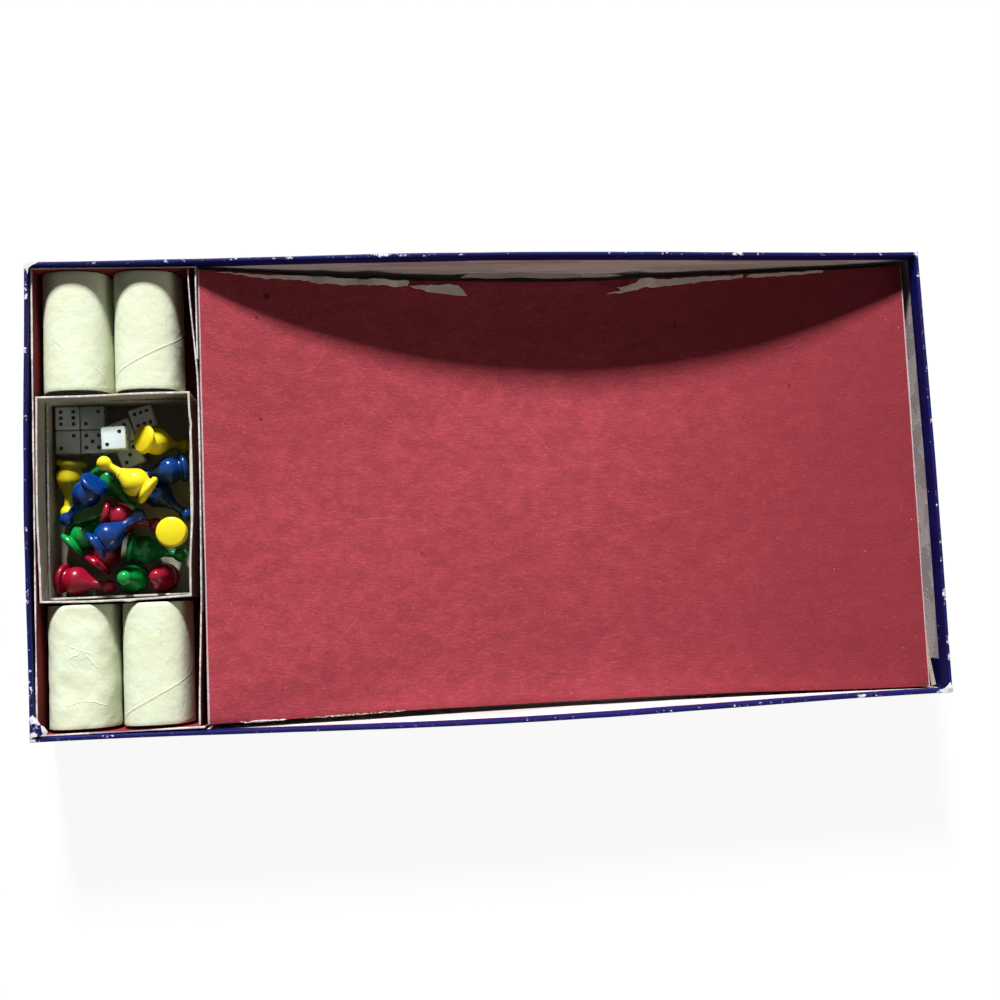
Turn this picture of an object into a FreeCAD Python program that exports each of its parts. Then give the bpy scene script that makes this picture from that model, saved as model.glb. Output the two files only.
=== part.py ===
import FreeCAD, Part
import math
import os
import Sketcher
from collections import namedtuple

os.makedirs("parts", exist_ok=True)
doc = FreeCAD.newDocument("BoardGameBox")
sheet = doc.addObject("Spreadsheet::Sheet", "Sizes")

# Driving dimensions in millimetres, each under its own name.
DIMENSIONS = [
    # storage box of wrapped board
    ("box_length", 489.0),
    ("box_width", 248.0),
    ("box_height", 44.5),
    ("board_thick", 1.6),
    ("paper_thick", 0.25),
    ("turn_in", 9.0),
    ("turn_under", 12.0),
    ("stay_leg", 18.0),
    ("stay_thick", 0.3),
    # shaker cups of rolled paper, which set the room across the trough
    ("cup_radius", 18.25),
    ("cup_wall", 0.9),
    ("cup_disc", 1.2),
    ("cup_recess", 4.0),
    ("cup_fit", 0.05),
    ("cup_room", 9.5),
    # folded liner of the left hand trough
    ("liner_slip", 0.3),
    ("liner_card", 0.8),
    ("trough_span", "=4 * cup_radius + 2 * liner_card + cup_room"),
    ("liner_left", "=box_length / 2 - 2 * paper_thick - board_thick - liner_slip"),
    ("liner_right", "=liner_left - trough_span"),
    ("liner_width", "=box_width - 4 * paper_thick - 2 * board_thick - 2 * liner_slip"),
    ("liner_floor", 1.9),
    ("liner_top", 41.0),
    ("flap_relief", 0.6),
    ("tab_gap", 0.15),
    ("tab_length", 50.0),
    # sagging platform panel
    ("panel_clear", 0.45),
    ("panel_end_slip", 3.9),
    ("panel_side_slip", 2.9),
    ("panel_left", "=liner_right - tab_gap - liner_card - panel_clear"),
    ("panel_span", "=panel_left + box_length / 2 - 2 * paper_thick - board_thick - panel_end_slip"),
    ("panel_width", "=box_width - 4 * paper_thick - 2 * board_thick - 2 * panel_side_slip"),
    ("panel_card", 1.3),
    ("panel_foot", 1.9),
    ("panel_top_left", 36.6),
    ("panel_top_right", 32.6),
    ("panel_sag", 25.0),
    ("panel_radius", "=(panel_span * panel_span / 4 + panel_sag * panel_sag) / (2 * panel_sag)"),
    # pawn box: outer cover and inner tray of grey chipboard
    ("cover_slip", 0.5),
    ("cover_room", 3.5),
    ("cover_length", "=trough_span - 2 * liner_card - cover_slip - cover_room"),
    ("cover_width", 108.4),
    ("cover_centre_x", "=-liner_left + liner_card + cover_slip + cover_length / 2"),
    ("cover_centre_y", 0.4),
    ("chip_card", 1.1),
    ("cover_floor", 3.0),
    ("cover_top", 39.5),
    ("slip_x", 0.5),
    ("slip_y", 0.3),
    ("lift_gap", 0.3),
    ("inner_top", 25.0),
    # room left along the trough by two cups and the pawn box
    ("cup_spare", 7.8),
    ("cup_length", "=(liner_width - cover_width - cup_spare) / 2"),
    # dice
    ("die_size", 12.7),
    ("die_edge", 0.7),
    # pawn of turned shape: stations along the axis and radii there
    ("base_low_r", 7.0),
    ("base_mid_z", 1.6),
    ("base_mid_r", 8.0),
    ("base_top_z", 3.2),
    ("base_top_r", 7.0),
    ("waist_z", 4.4),
    ("waist_r", 5.6),
    ("hip_z", 7.0),
    ("hip_r", 7.1),
    ("belly_z", 9.6),
    ("belly_r", 7.5),
    ("chest_z", 13.0),
    ("chest_r", 6.0),
    ("collar_z", 18.0),
    ("collar_r", 3.1),
    ("neck_z", 24.4),
    ("neck_r", 2.1),
    ("chin_z", 25.8),
    ("chin_r", 3.0),
    ("head_z", 28.0),
    ("head_r", 3.75),
    ("brow_z", 30.2),
    ("brow_r", 3.05),
    ("crown_z", 31.5),
    ("crown_r", 1.3),
    ("pawn_gap", 0.3),
    ("nestle", 0.55),
]
for row_index, (alias, content) in enumerate(DIMENSIONS, start=1):
    cell = "B%d" % row_index
    sheet.set("A%d" % row_index, alias)
    sheet.set(cell, str(content))
    sheet.setAlias(cell, alias)
doc.recompute()


def size(name):
    """Value of one named dimension."""
    return float(sheet.get(name))


def bind(target, path, formula):
    """Drive one property of an object by a formula over the sheet names."""
    words = formula
    for name in sorted([row[0] for row in DIMENSIONS], key=len, reverse=True):
        words = words.replace("{" + name + "}", "<<Sizes>>." + name)
    target.setExpression(path, words)


def number(formula):
    """Present value of a formula over the sheet names."""
    words = formula
    for row in DIMENSIONS:
        words = words.replace("{" + row[0] + "}", "(" + repr(size(row[0])) + ")")
    total = FreeCAD.Units.Quantity(words).Value
    return total


def new_body(label):
    """Empty body that carries the node name."""
    body = doc.addObject("PartDesign::Body", label)
    body.Label = label
    return body


def plane_sketch(body, name, role, height="0"):
    """Sketch on one of the body's own origin planes, raised by a formula."""
    sketch = body.newObject("Sketcher::SketchObject", body.Label + "_" + name)
    plane = [item for item in body.Origin.OriginFeatures if item.Role == role][0]
    sketch.AttachmentSupport = [(plane, "")]
    sketch.MapMode = "FlatFace"
    if height != "0":
        bind(sketch, "AttachmentOffset.Base.z", height)
    return sketch


def box_loop(sketch, x_low, x_high, y_low, y_high):
    """Closed rectangle whose four sides are held by signed formulas."""
    left, right = number(x_low), number(x_high)
    low, high = number(y_low), number(y_high)
    corners = [(left, low), (right, low), (right, high), (left, high)]
    first = sketch.GeometryCount
    for index in range(4):
        start = FreeCAD.Vector(corners[index][0], corners[index][1], 0)
        ahead = corners[(index + 1) % 4]
        end = FreeCAD.Vector(ahead[0], ahead[1], 0)
        sketch.addGeometry(Part.LineSegment(start, end), False)
    for index in range(4):
        follow = first + (index + 1) % 4
        sketch.addConstraint(Sketcher.Constraint("Coincident", first + index, 2, follow, 1))
    sketch.addConstraint(Sketcher.Constraint("Horizontal", first))
    sketch.addConstraint(Sketcher.Constraint("Vertical", first + 1))
    sketch.addConstraint(Sketcher.Constraint("Horizontal", first + 2))
    sketch.addConstraint(Sketcher.Constraint("Vertical", first + 3))
    holds = [("DistanceX", first, 1, x_low, left), ("DistanceX", first + 1, 1, x_high, right),
             ("DistanceY", first, 1, y_low, low), ("DistanceY", first + 2, 1, y_high, high)]
    for kind, edge, point, formula, value in holds:
        index = sketch.addConstraint(Sketcher.Constraint(kind, -1, 1, edge, point, value))
        bind(sketch, "Constraints[%d]" % index, formula)


def centred_loop(sketch, length, width):
    """Rectangle about the origin."""
    box_loop(sketch, "-(" + length + ") / 2", "(" + length + ") / 2",
             "-(" + width + ") / 2", "(" + width + ") / 2")


def pad(body, sketch, name, length):
    """Material raised from a sketch."""
    feature = body.newObject("PartDesign::Pad", body.Label + "_" + name)
    feature.Profile = sketch
    bind(feature, "Length", length)
    sketch.Visibility = False
    return feature


def pocket(body, sketch, name, depth, upward):
    """Material taken away from a sketch."""
    feature = body.newObject("PartDesign::Pocket", body.Label + "_" + name)
    feature.Profile = sketch
    feature.Reversed = upward
    bind(feature, "Length", depth)
    sketch.Visibility = False
    return feature


# Storage box: one board tray, rebated for the corner stays and the wrap.
box_tray = new_body("box_tray")
sketch = plane_sketch(box_tray, "plan", "XY_Plane")
centred_loop(sketch, "{box_length} - 2 * {paper_thick}", "{box_width} - 2 * {paper_thick}")
pad(box_tray, sketch, "block", "{box_height} - {paper_thick}")
sketch = plane_sketch(box_tray, "hollow_plan", "XY_Plane", "{board_thick}")
WALL_IN = "2 * {paper_thick} - 2 * {board_thick}"
centred_loop(sketch, "{box_length} - " + WALL_IN, "{box_width} - " + WALL_IN)
pocket(box_tray, sketch, "hollow", "{box_height}", True)
sketch = plane_sketch(box_tray, "under_plan", "XY_Plane")
centred_loop(sketch, "{box_length}", "{box_width}")
centred_loop(sketch, "{box_length} - 2 * {turn_under}", "{box_width} - 2 * {turn_under}")
pocket(box_tray, sketch, "under_rebate", "{paper_thick}", True)
HALF_L = "({box_length} / 2 - {paper_thick})"
HALF_W = "({box_width} / 2 - {paper_thick})"
CORNERS = [("corner_stay_1", -1, 1), ("corner_stay_2", 1, 1), ("corner_stay_3", 1, -1), ("corner_stay_4", -1, -1)]


def signed(sign, formula):
    """Formula on the left or right, front or back of the middle."""
    return formula if sign > 0 else "-(" + formula + ")"


def corner_legs(sign_x, sign_y):
    """Two crossing strips that make one corner angle, as (x low, x high, y low, y high)."""
    long_x = sorted([signed(sign_x, HALF_L), signed(sign_x, HALF_L + " - {stay_leg}")], key=number)
    thin_x = sorted([signed(sign_x, HALF_L), signed(sign_x, HALF_L + " - {stay_thick}")], key=number)
    long_y = sorted([signed(sign_y, HALF_W), signed(sign_y, HALF_W + " - {stay_leg}")], key=number)
    thin_y = sorted([signed(sign_y, HALF_W), signed(sign_y, HALF_W + " - {stay_thick}")], key=number)
    return [(long_x, thin_y), (thin_x, long_y)]


for stay, sign_x, sign_y in CORNERS:
    for leg_index, (span_x, span_y) in enumerate(corner_legs(sign_x, sign_y)):
        sketch = plane_sketch(box_tray, "%s_seat_%d" % (stay, leg_index), "XY_Plane")
        box_loop(sketch, span_x[0], span_x[1], span_y[0], span_y[1])
        pocket(box_tray, sketch, "%s_rebate_%d" % (stay, leg_index), "{box_height}", True)

nodes = [box_tray]

# Corner stays: card angles glued over the corners under the wrap.
for stay, sign_x, sign_y in CORNERS:
    body = new_body(stay)
    for leg_index, (span_x, span_y) in enumerate(corner_legs(sign_x, sign_y)):
        sketch = plane_sketch(body, "plan_%d" % leg_index, "XY_Plane", "{paper_thick}")
        box_loop(sketch, span_x[0], span_x[1], span_y[0], span_y[1])
        pad(body, sketch, "leg_%d" % leg_index, "{box_height} - 2 * {paper_thick}")
    nodes.append(body)

# Paper wrap: outside skin, rim, turn-in on the inner walls, turn-under below.
box_wrap = new_body("box_wrap")
sketch = plane_sketch(box_wrap, "skin_plan", "XY_Plane")
centred_loop(sketch, "{box_length}", "{box_width}")
centred_loop(sketch, "{box_length} - 2 * {paper_thick}", "{box_width} - 2 * {paper_thick}")
pad(box_wrap, sketch, "skin", "{box_height}")
sketch = plane_sketch(box_wrap, "rim_plan", "XY_Plane", "{box_height} - {paper_thick}")
FOLD_IN = "4 * {paper_thick} - 2 * {board_thick}"
centred_loop(sketch, "{box_length} - {paper_thick}", "{box_width} - {paper_thick}")
centred_loop(sketch, "{box_length} - " + FOLD_IN, "{box_width} - " + FOLD_IN)
pad(box_wrap, sketch, "rim", "{paper_thick}")
sketch = plane_sketch(box_wrap, "turn_in_plan", "XY_Plane", "{box_height} - {turn_in}")
centred_loop(sketch, "{box_length} - " + WALL_IN, "{box_width} - " + WALL_IN)
centred_loop(sketch, "{box_length} - " + FOLD_IN, "{box_width} - " + FOLD_IN)
pad(box_wrap, sketch, "turn_in", "{turn_in} - {paper_thick} / 2")
sketch = plane_sketch(box_wrap, "turn_under_plan", "XY_Plane")
centred_loop(sketch, "{box_length} - {paper_thick}", "{box_width} - {paper_thick}")
centred_loop(sketch, "{box_length} - 2 * {turn_under}", "{box_width} - 2 * {turn_under}")
pad(box_wrap, sketch, "turn_under", "{paper_thick}")
nodes.append(box_wrap)

# Trough liner: floor and folded flaps of thin card, with a glue tab behind the divider.
liner = new_body("trough_liner")
sketch = plane_sketch(liner, "floor_plan", "XY_Plane", "{liner_floor}")
box_loop(sketch, "-{liner_left}", "-{liner_right}", "-{liner_width} / 2", "{liner_width} / 2")
pad(liner, sketch, "floor", "{liner_card}")
FLAP_IN = "{liner_card} + {flap_relief}"
FLAPS = [
    ("left_flap", "-{liner_left}", "-{liner_left} + {liner_card}",
     "-{liner_width} / 2 + " + FLAP_IN, "{liner_width} / 2 - " + FLAP_IN),
    ("divider", "-{liner_right} - {liner_card}", "-{liner_right}",
     "-{liner_width} / 2 + " + FLAP_IN, "{liner_width} / 2 - " + FLAP_IN),
    ("front_flap", "-{liner_left}", "-{liner_right}",
     "-{liner_width} / 2", "-{liner_width} / 2 + {liner_card}"),
    ("back_flap", "-{liner_left}", "-{liner_right} + {tab_gap} + {liner_card}",
     "{liner_width} / 2 - {liner_card}", "{liner_width} / 2"),
    ("glue_tab", "-{liner_right} + {tab_gap}", "-{liner_right} + {tab_gap} + {liner_card}",
     "{liner_width} / 2 - {tab_length}", "{liner_width} / 2"),
]
for name, x_low, x_high, y_low, y_high in FLAPS:
    sketch = plane_sketch(liner, name + "_plan", "XY_Plane", "{liner_floor} + {liner_card} / 2")
    box_loop(sketch, x_low, x_high, y_low, y_high)
    pad(liner, sketch, name, "{liner_top} - {liner_floor} - {liner_card} / 2")
nodes.append(liner)

# Platform: one card sheet, sagging between two folded legs.
platform = new_body("platform")
sketch = plane_sketch(platform, "profile", "XZ_Plane")
span, card = size("panel_span"), size("panel_card")
left_top, right_top = size("panel_top_left"), size("panel_top_right")
radius = size("panel_radius")
chord = math.hypot(span, right_top - left_top)
rise = math.sqrt(radius * radius - chord * chord / 4)
middle = FreeCAD.Vector(span / 2, (left_top + right_top) / 2, 0)
lean = FreeCAD.Vector(left_top - right_top, span, 0)
lean.normalize()
hub = middle + lean * rise


def angle_to(point):
    """Direction of a point seen from the middle of the sag's curve."""
    return math.atan2(point.y - hub.y, point.x - hub.x)


def drop_at(x_place, arm):
    """Height of the curve of the given radius at one place."""
    return hub.y - math.sqrt(arm * arm - (x_place - hub.x) ** 2)


outer_left = FreeCAD.Vector(0, left_top, 0)
outer_right = FreeCAD.Vector(span, right_top, 0)
inner_left = FreeCAD.Vector(card, drop_at(card, radius + card), 0)
inner_right = FreeCAD.Vector(span - card, drop_at(span - card, radius + card), 0)
foot_left = FreeCAD.Vector(0, 0, 0)
foot_left_in = FreeCAD.Vector(card, 0, 0)
foot_right = FreeCAD.Vector(span, 0, 0)
foot_right_in = FreeCAD.Vector(span - card, 0, 0)
axis = FreeCAD.Vector(0, 0, 1)
top_circle = Part.Circle(hub, axis, radius)
low_circle = Part.Circle(hub, axis, radius + card)
top_arc = Part.ArcOfCircle(top_circle, angle_to(outer_left), angle_to(outer_right))
low_arc = Part.ArcOfCircle(low_circle, angle_to(inner_left), angle_to(inner_right))
for shape in [top_arc, Part.LineSegment(outer_right, foot_right),
              Part.LineSegment(foot_right, foot_right_in), Part.LineSegment(foot_right_in, inner_right),
              low_arc, Part.LineSegment(inner_left, foot_left_in),
              Part.LineSegment(foot_left_in, foot_left), Part.LineSegment(foot_left, outer_left)]:
    sketch.addGeometry(shape, False)
TOP, RIGHT, FOOT_R, RIGHT_IN, LOW, LEFT_IN, FOOT_L, LEFT = range(8)
for edge, point, other, other_point in [
        (TOP, 2, RIGHT, 1), (RIGHT, 2, FOOT_R, 1), (FOOT_R, 2, RIGHT_IN, 1), (RIGHT_IN, 2, LOW, 2),
        (LOW, 1, LEFT_IN, 1), (LEFT_IN, 2, FOOT_L, 1), (FOOT_L, 2, LEFT, 1), (LEFT, 2, TOP, 1)]:
    sketch.addConstraint(Sketcher.Constraint("Coincident", edge, point, other, other_point))
sketch.addConstraint(Sketcher.Constraint("Coincident", TOP, 3, LOW, 3))
for edge in (RIGHT, RIGHT_IN, LEFT_IN, LEFT):
    sketch.addConstraint(Sketcher.Constraint("Vertical", edge))
for edge in (FOOT_R, FOOT_L):
    sketch.addConstraint(Sketcher.Constraint("Horizontal", edge))
sketch.addConstraint(Sketcher.Constraint("Coincident", -1, 1, FOOT_L, 2))
for kind, edge, value, formula in [
        ("Distance", LEFT, left_top, "{panel_top_left}"),
        ("Distance", RIGHT, right_top, "{panel_top_right}"),
        ("Distance", FOOT_L, card, "{panel_card}"),
        ("Distance", FOOT_R, card, "{panel_card}"),
        ("Radius", TOP, radius, "{panel_radius}")]:
    index = sketch.addConstraint(Sketcher.Constraint(kind, edge, value))
    bind(sketch, "Constraints[%d]" % index, formula)
index = sketch.addConstraint(Sketcher.Constraint("DistanceX", -1, 1, FOOT_R, 1, span))
bind(sketch, "Constraints[%d]" % index, "{panel_span}")
sketch.addConstraint(Sketcher.Constraint("Horizontal", -1, 1, FOOT_R, 1))
bind(sketch, "AttachmentOffset.Base.z", "-{panel_width} / 2")
panel_pad = pad(platform, sketch, "sheet", "{panel_width}")
bind(platform, "Placement.Base.x", "-{panel_left}")
bind(platform, "Placement.Base.z", "{panel_foot}")
nodes.append(platform)

# Pawn box: outer cover and inner tray, both open above.
cover = new_body("pawn_box_cover")
sketch = plane_sketch(cover, "plan", "XY_Plane", "{cover_floor}")
centred_loop(sketch, "{cover_length}", "{cover_width}")
pad(cover, sketch, "block", "{cover_top} - {cover_floor}")
sketch = plane_sketch(cover, "hollow_plan", "XY_Plane", "{cover_floor} + {chip_card}")
centred_loop(sketch, "{cover_length} - 2 * {chip_card}", "{cover_width} - 2 * {chip_card}")
pocket(cover, sketch, "hollow", "{cover_top}", True)
inner_tray = new_body("pawn_box_tray")
TRAY_LOW = "{cover_floor} + {chip_card} + {lift_gap}"
TRAY_X = "{cover_length} - 2 * {chip_card} - 2 * {slip_x}"
TRAY_Y = "{cover_width} - 2 * {chip_card} - 2 * {slip_y}"
sketch = plane_sketch(inner_tray, "plan", "XY_Plane", TRAY_LOW)
centred_loop(sketch, TRAY_X, TRAY_Y)
pad(inner_tray, sketch, "block", "{inner_top} - (" + TRAY_LOW + ")")
sketch = plane_sketch(inner_tray, "hollow_plan", "XY_Plane", TRAY_LOW + " + {chip_card}")
centred_loop(sketch, TRAY_X + " - 2 * {chip_card}", TRAY_Y + " - 2 * {chip_card}")
pocket(inner_tray, sketch, "hollow", "{inner_top}", True)
for body in (cover, inner_tray):
    bind(body, "Placement.Base.x", "{cover_centre_x}")
    bind(body, "Placement.Base.y", "{cover_centre_y}")
    nodes.append(body)

# Shaker cups: rolled tubes lying on their sides, each with a set-in end disc.
Cup = namedtuple("Cup", "name place apart end_gap closed_end")
CUPS = [
    Cup("cup_back_left", 0, 1.05, 0.65, 1),
    Cup("cup_back_right", 1, 1.55, 0.65, 1),
    Cup("cup_front_left", 0, 1.55, 1.65, -1),
    Cup("cup_front_right", 1, 3.05, 1.65, -1),
]
trough_left = -size("liner_left")
inner_half = size("liner_width") / 2 - size("liner_card")
cup_height = size("liner_floor") + size("liner_card") + size("lift_gap") + size("cup_radius")
ALONG_Y = FreeCAD.Rotation(FreeCAD.Vector(1, 0, 0), -90)
for cup in CUPS:
    skin = doc.addObject("Part::Cylinder", cup.name + "_skin")
    bore = doc.addObject("Part::Cylinder", cup.name + "_bore")
    bind(skin, "Radius", "{cup_radius}")
    bind(skin, "Height", "{cup_length}")
    bind(bore, "Radius", "{cup_radius} - {cup_wall}")
    bind(bore, "Height", "{cup_length}")
    tube = doc.addObject("Part::Cut", cup.name)
    tube.Base = skin
    tube.Tool = bore
    tube.Label = cup.name
    radii = (1 + 2 * cup.place) * size("cup_radius")
    cup_x = trough_left + size("liner_card") + cup.apart + radii
    if cup.closed_end > 0:
        near_end = inner_half - cup.end_gap - size("cup_length")
    else:
        near_end = cup.end_gap - inner_half
    tube.Placement = FreeCAD.Placement(FreeCAD.Vector(cup_x, near_end, cup_height), ALONG_Y)
    disc = doc.addObject("Part::Cylinder", cup.name + "_end")
    bind(disc, "Radius", "{cup_radius} - {cup_wall} - {cup_fit}")
    bind(disc, "Height", "{cup_disc}")
    disc.Label = cup.name + "_end"
    if cup.closed_end > 0:
        disc_y = near_end + size("cup_length") - size("cup_recess") - size("cup_disc")
    else:
        disc_y = near_end + size("cup_recess")
    disc.Placement = FreeCAD.Placement(FreeCAD.Vector(cup_x, disc_y, cup_height), ALONG_Y)
    nodes.extend([tube, disc])

# Resting places of the loose pieces, read from the photograph: x from the trough's left end,
# y from the front end of the pawn box, or below zero from its back end; heights follow from contact.
floor_level = size("cover_floor") + 2 * size("chip_card") + size("lift_gap") + size("pawn_gap")
die_size = size("die_size")
gap = size("pawn_gap")
Die = namedtuple("Die", "name x y turn storey")
DICE = [
    Die("die_1", 12.2, -9.3, 0.0, 0),
    Die("die_2", 25.3, -9.4, 0.0, 0),
    Die("die_3", 12.3, -22.4, 0.0, 0),
    Die("die_4", 25.4, -22.4, 0.0, 0),
    Die("die_5", 38.8, -22.7, 2.0, 1),
    Die("die_6", 40.2, -18.0, 21.0, 0),
    Die("die_7", 51.8, -10.4, 17.0, 0),
    Die("die_8", 44.9, -30.2, 21.0, 0),
]
Rest = namedtuple("Rest", "name x y heading pitch")
LYING = -4.5
UPRIGHT = 90.0
ON_HEAD = -90.0
PAWNS = [
    Rest("yellow_pawn_2", 13.5, -32.2, -97.0, LYING),
    Rest("green_pawn_1", 26.5, -36.6, -52.0, LYING),
    Rest("blue_pawn_3", 51.1, -46.0, -38.0, LYING),
    Rest("blue_pawn_2", 74.2, -37.8, -168.0, 16.0),
    Rest("green_pawn_2", 11.7, 29.8, 42.0, LYING),
    Rest("green_pawn_3", 42.2, 28.9, -12.0, LYING),
    Rest("red_pawn_4", 60.1, 11.4, 160.0, UPRIGHT),
    Rest("green_pawn_4", 43.7, 11.4, 160.0, UPRIGHT),
    Rest("red_pawn_2", 6.5, 13.2, -12.0, 14.0),
    Rest("red_pawn_3", 25.1, 18.1, 52.0, LYING),
    Rest("blue_pawn_1", 29.2, -45.6, -134.0, -24.0),
    Rest("red_pawn_1", 31.1, 46.4, -14.0, -10.0),
    Rest("yellow_pawn_1", 53.1, -23.2, -6.0, -45.0),
    Rest("yellow_pawn_3", 58.1, -52.2, 146.0, 4.0),
    Rest("blue_pawn_4", 28.1, 28.2, 35.0, -8.0),
    Rest("yellow_pawn_4", 68.5, 34.4, 0.0, ON_HEAD),
]

# Round proxies of a pawn along its axis: (x, y, z, radius) before it is laid down.
RING_STEPS = 24
INNER_STEPS = 10
half_base = size("base_top_z") / 2 + 0.05
ring_radius = size("base_mid_r") - half_base
inner_radius = size("base_mid_r") * 0.45
PROXIES = [(0.0, 0.0, half_base, half_base)]
for steps, reach in ((RING_STEPS, ring_radius), (INNER_STEPS, inner_radius)):
    for step in range(steps):
        turn = 2 * math.pi * step / steps
        PROXIES.append((reach * math.cos(turn), reach * math.sin(turn), half_base, half_base))


def touching_radius(place):
    """Radius of the sphere on the axis that touches the pawn's slope at one height."""
    names = ["base_mid", "base_top", "waist", "hip", "belly", "chest", "collar", "neck", "chin", "head", "brow", "crown"]
    for low_name, high_name in zip(names, names[1:]):
        low_z, high_z = size(low_name + "_z"), size(high_name + "_z")
        if low_z <= place <= high_z:
            low_r, high_r = size(low_name + "_r"), size(high_name + "_r")
            share = (place - low_z) / (high_z - low_z)
            slope = math.atan2(high_r - low_r, high_z - low_z)
            return (low_r * (1 - share) + high_r * share) * math.cos(slope)
    return size("crown_r")


AXIS_STEPS = 15
for step in range(AXIS_STEPS):
    share = step / (AXIS_STEPS - 1.0)
    place = size("hip_z") + share * (size("chin_z") - size("hip_z"))
    PROXIES.append((0.0, 0.0, place, touching_radius(place)))
for name in ("hip", "belly", "head"):
    PROXIES.append((0.0, 0.0, size(name + "_z"), size(name + "_r")))


def tilt(rest):
    """Rotation that lays a pawn's axis along its heading and pitch."""
    level = FreeCAD.Rotation(FreeCAD.Vector(0, 1, 0), 90.0 - rest.pitch)
    swing = FreeCAD.Rotation(FreeCAD.Vector(0, 0, 1), rest.heading)
    return swing.multiply(level)


def laid_proxies(rest):
    """Proxies of one pawn at height zero."""
    turn = tilt(rest)
    laid = []
    for x, y, z, r in PROXIES:
        point = turn.multVec(FreeCAD.Vector(x, y, z))
        laid.append((point.x + rest.x, point.y + rest.y, point.z, r))
    return laid


def over_pawn(moving, fixed):
    """Height at which one set of proxies clears another."""
    height = -1.0e3
    for ax, ay, az, ar in moving:
        for bx, by, bz, br in fixed:
            apart = (ax - bx) ** 2 + (ay - by) ** 2
            reach = ar + br + gap
            if apart < reach * reach:
                height = max(height, bz + math.sqrt(reach * reach - apart) - az)
    return height


def over_die(moving, die, die_top):
    """Height at which proxies clear the top of a die."""
    height = -1.0e3
    cosine, sine = math.cos(math.radians(die.turn)), math.sin(math.radians(die.turn))
    for ax, ay, az, ar in moving:
        across, along = ax - die.x, ay - die.y
        u = abs(cosine * across + sine * along) - die_size / 2
        v = abs(cosine * along - sine * across) - die_size / 2
        apart = math.hypot(max(u, 0.0), max(v, 0.0))
        reach = ar + gap
        if apart < reach:
            height = max(height, die_top + math.sqrt(reach * reach - apart * apart) - az)
    return height


laid_dice = []
cover_front = size("cover_centre_y") - size("cover_width") / 2
cover_back = size("cover_centre_y") + size("cover_width") / 2


def in_box(rest):
    """Resting place measured from the middle of the storage box."""
    end = cover_front if rest.y > 0 else cover_back
    return rest._replace(x=rest.x + trough_left, y=rest.y + end)


DICE = [in_box(die) for die in DICE]
PAWNS = [in_box(rest) for rest in PAWNS]
for die in DICE:
    die_low = floor_level + die.storey * (die_size + gap)
    laid_dice.append((die, die_low))
laid_pawns = []
for rest in PAWNS:
    moving = laid_proxies(rest)
    height = max(floor_level + r - z for x, y, z, r in moving)
    for die, die_low in laid_dice:
        height = max(height, over_die(moving, die, die_low + die_size))
    for other, fixed, level in laid_pawns:
        height = max(height, over_pawn(moving, fixed))
    if rest.name == "yellow_pawn_3":
        height = height - size("nestle")
    raised = [(x, y, z + height, r) for x, y, z, r in moving]
    laid_pawns.append((rest, raised, height))

# Dice: cubes with eased edges.
for die, die_low in laid_dice:
    cube = doc.addObject("Part::Box", die.name + "_cube")
    for side in ("Length", "Width", "Height"):
        bind(cube, side, "{die_size}")
    doc.recompute()
    eased = doc.addObject("Part::Chamfer", die.name)
    eased.Base = cube
    edge_size = size("die_edge")
    eased.Edges = [(index + 1, edge_size, edge_size) for index in range(len(cube.Shape.Edges))]
    eased.Label = die.name
    turn = FreeCAD.Rotation(FreeCAD.Vector(0, 0, 1), die.turn)
    low_corner = turn.multVec(FreeCAD.Vector(-die_size / 2, -die_size / 2, 0))
    eased.Placement = FreeCAD.Placement(low_corner + FreeCAD.Vector(die.x, die.y, die_low), turn)
    nodes.append(eased)

# Pawns: one faceted turning through the stations, set down once for each place.
SIDES = 20
SECTIONS = ["base_low", "base_mid", "base_top", "waist", "hip", "belly", "chest",
            "collar", "neck", "chin", "head", "brow", "crown"]


def ring_points(name):
    """Corners of the regular polygon at one station of the pawn."""
    height = 0.0 if name == SECTIONS[0] else size(name + "_z")
    reach = size(name + "_r")
    points = []
    for side in range(SIDES):
        turn = 2 * math.pi * side / SIDES
        points.append(FreeCAD.Vector(reach * math.cos(turn), reach * math.sin(turn), height))
    return points


def closed_face(points):
    """Flat face inside a closed run of points."""
    return Part.Face(Part.makePolygon(points + points[:1]))


def turned_pawn():
    """Solid of flat facets: a foot face, a band between each two stations, a crown face."""
    rings = [ring_points(name) for name in SECTIONS]
    faces = [closed_face(rings[0]), closed_face(rings[-1])]
    for low_ring, high_ring in zip(rings, rings[1:]):
        for side in range(SIDES):
            ahead = (side + 1) % SIDES
            faces.append(closed_face([low_ring[side], low_ring[ahead], high_ring[ahead], high_ring[side]]))
    solid = Part.makeSolid(Part.makeShell(faces))
    if solid.Volume < 0:
        solid.reverse()
    return solid


pawn_shape = turned_pawn()
for rest, raised, height in laid_pawns:
    pawn = doc.addObject("Part::Feature", rest.name)
    pawn.Shape = pawn_shape
    pawn.Label = rest.name
    pawn.Placement = FreeCAD.Placement(FreeCAD.Vector(rest.x, rest.y, height), tilt(rest))
    nodes.append(pawn)

doc.recompute()
failed = []
for item in doc.Objects:
    if "Invalid" in item.State or "Error" in item.State:
        failed.append(item.Name)
for node in nodes:
    if node.Shape.isNull() or not node.Shape.isValid() or len(node.Shape.Solids) != 1:
        failed.append(node.Label + " shape")
if failed:
    raise RuntimeError("not built: " + ", ".join(failed))

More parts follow.
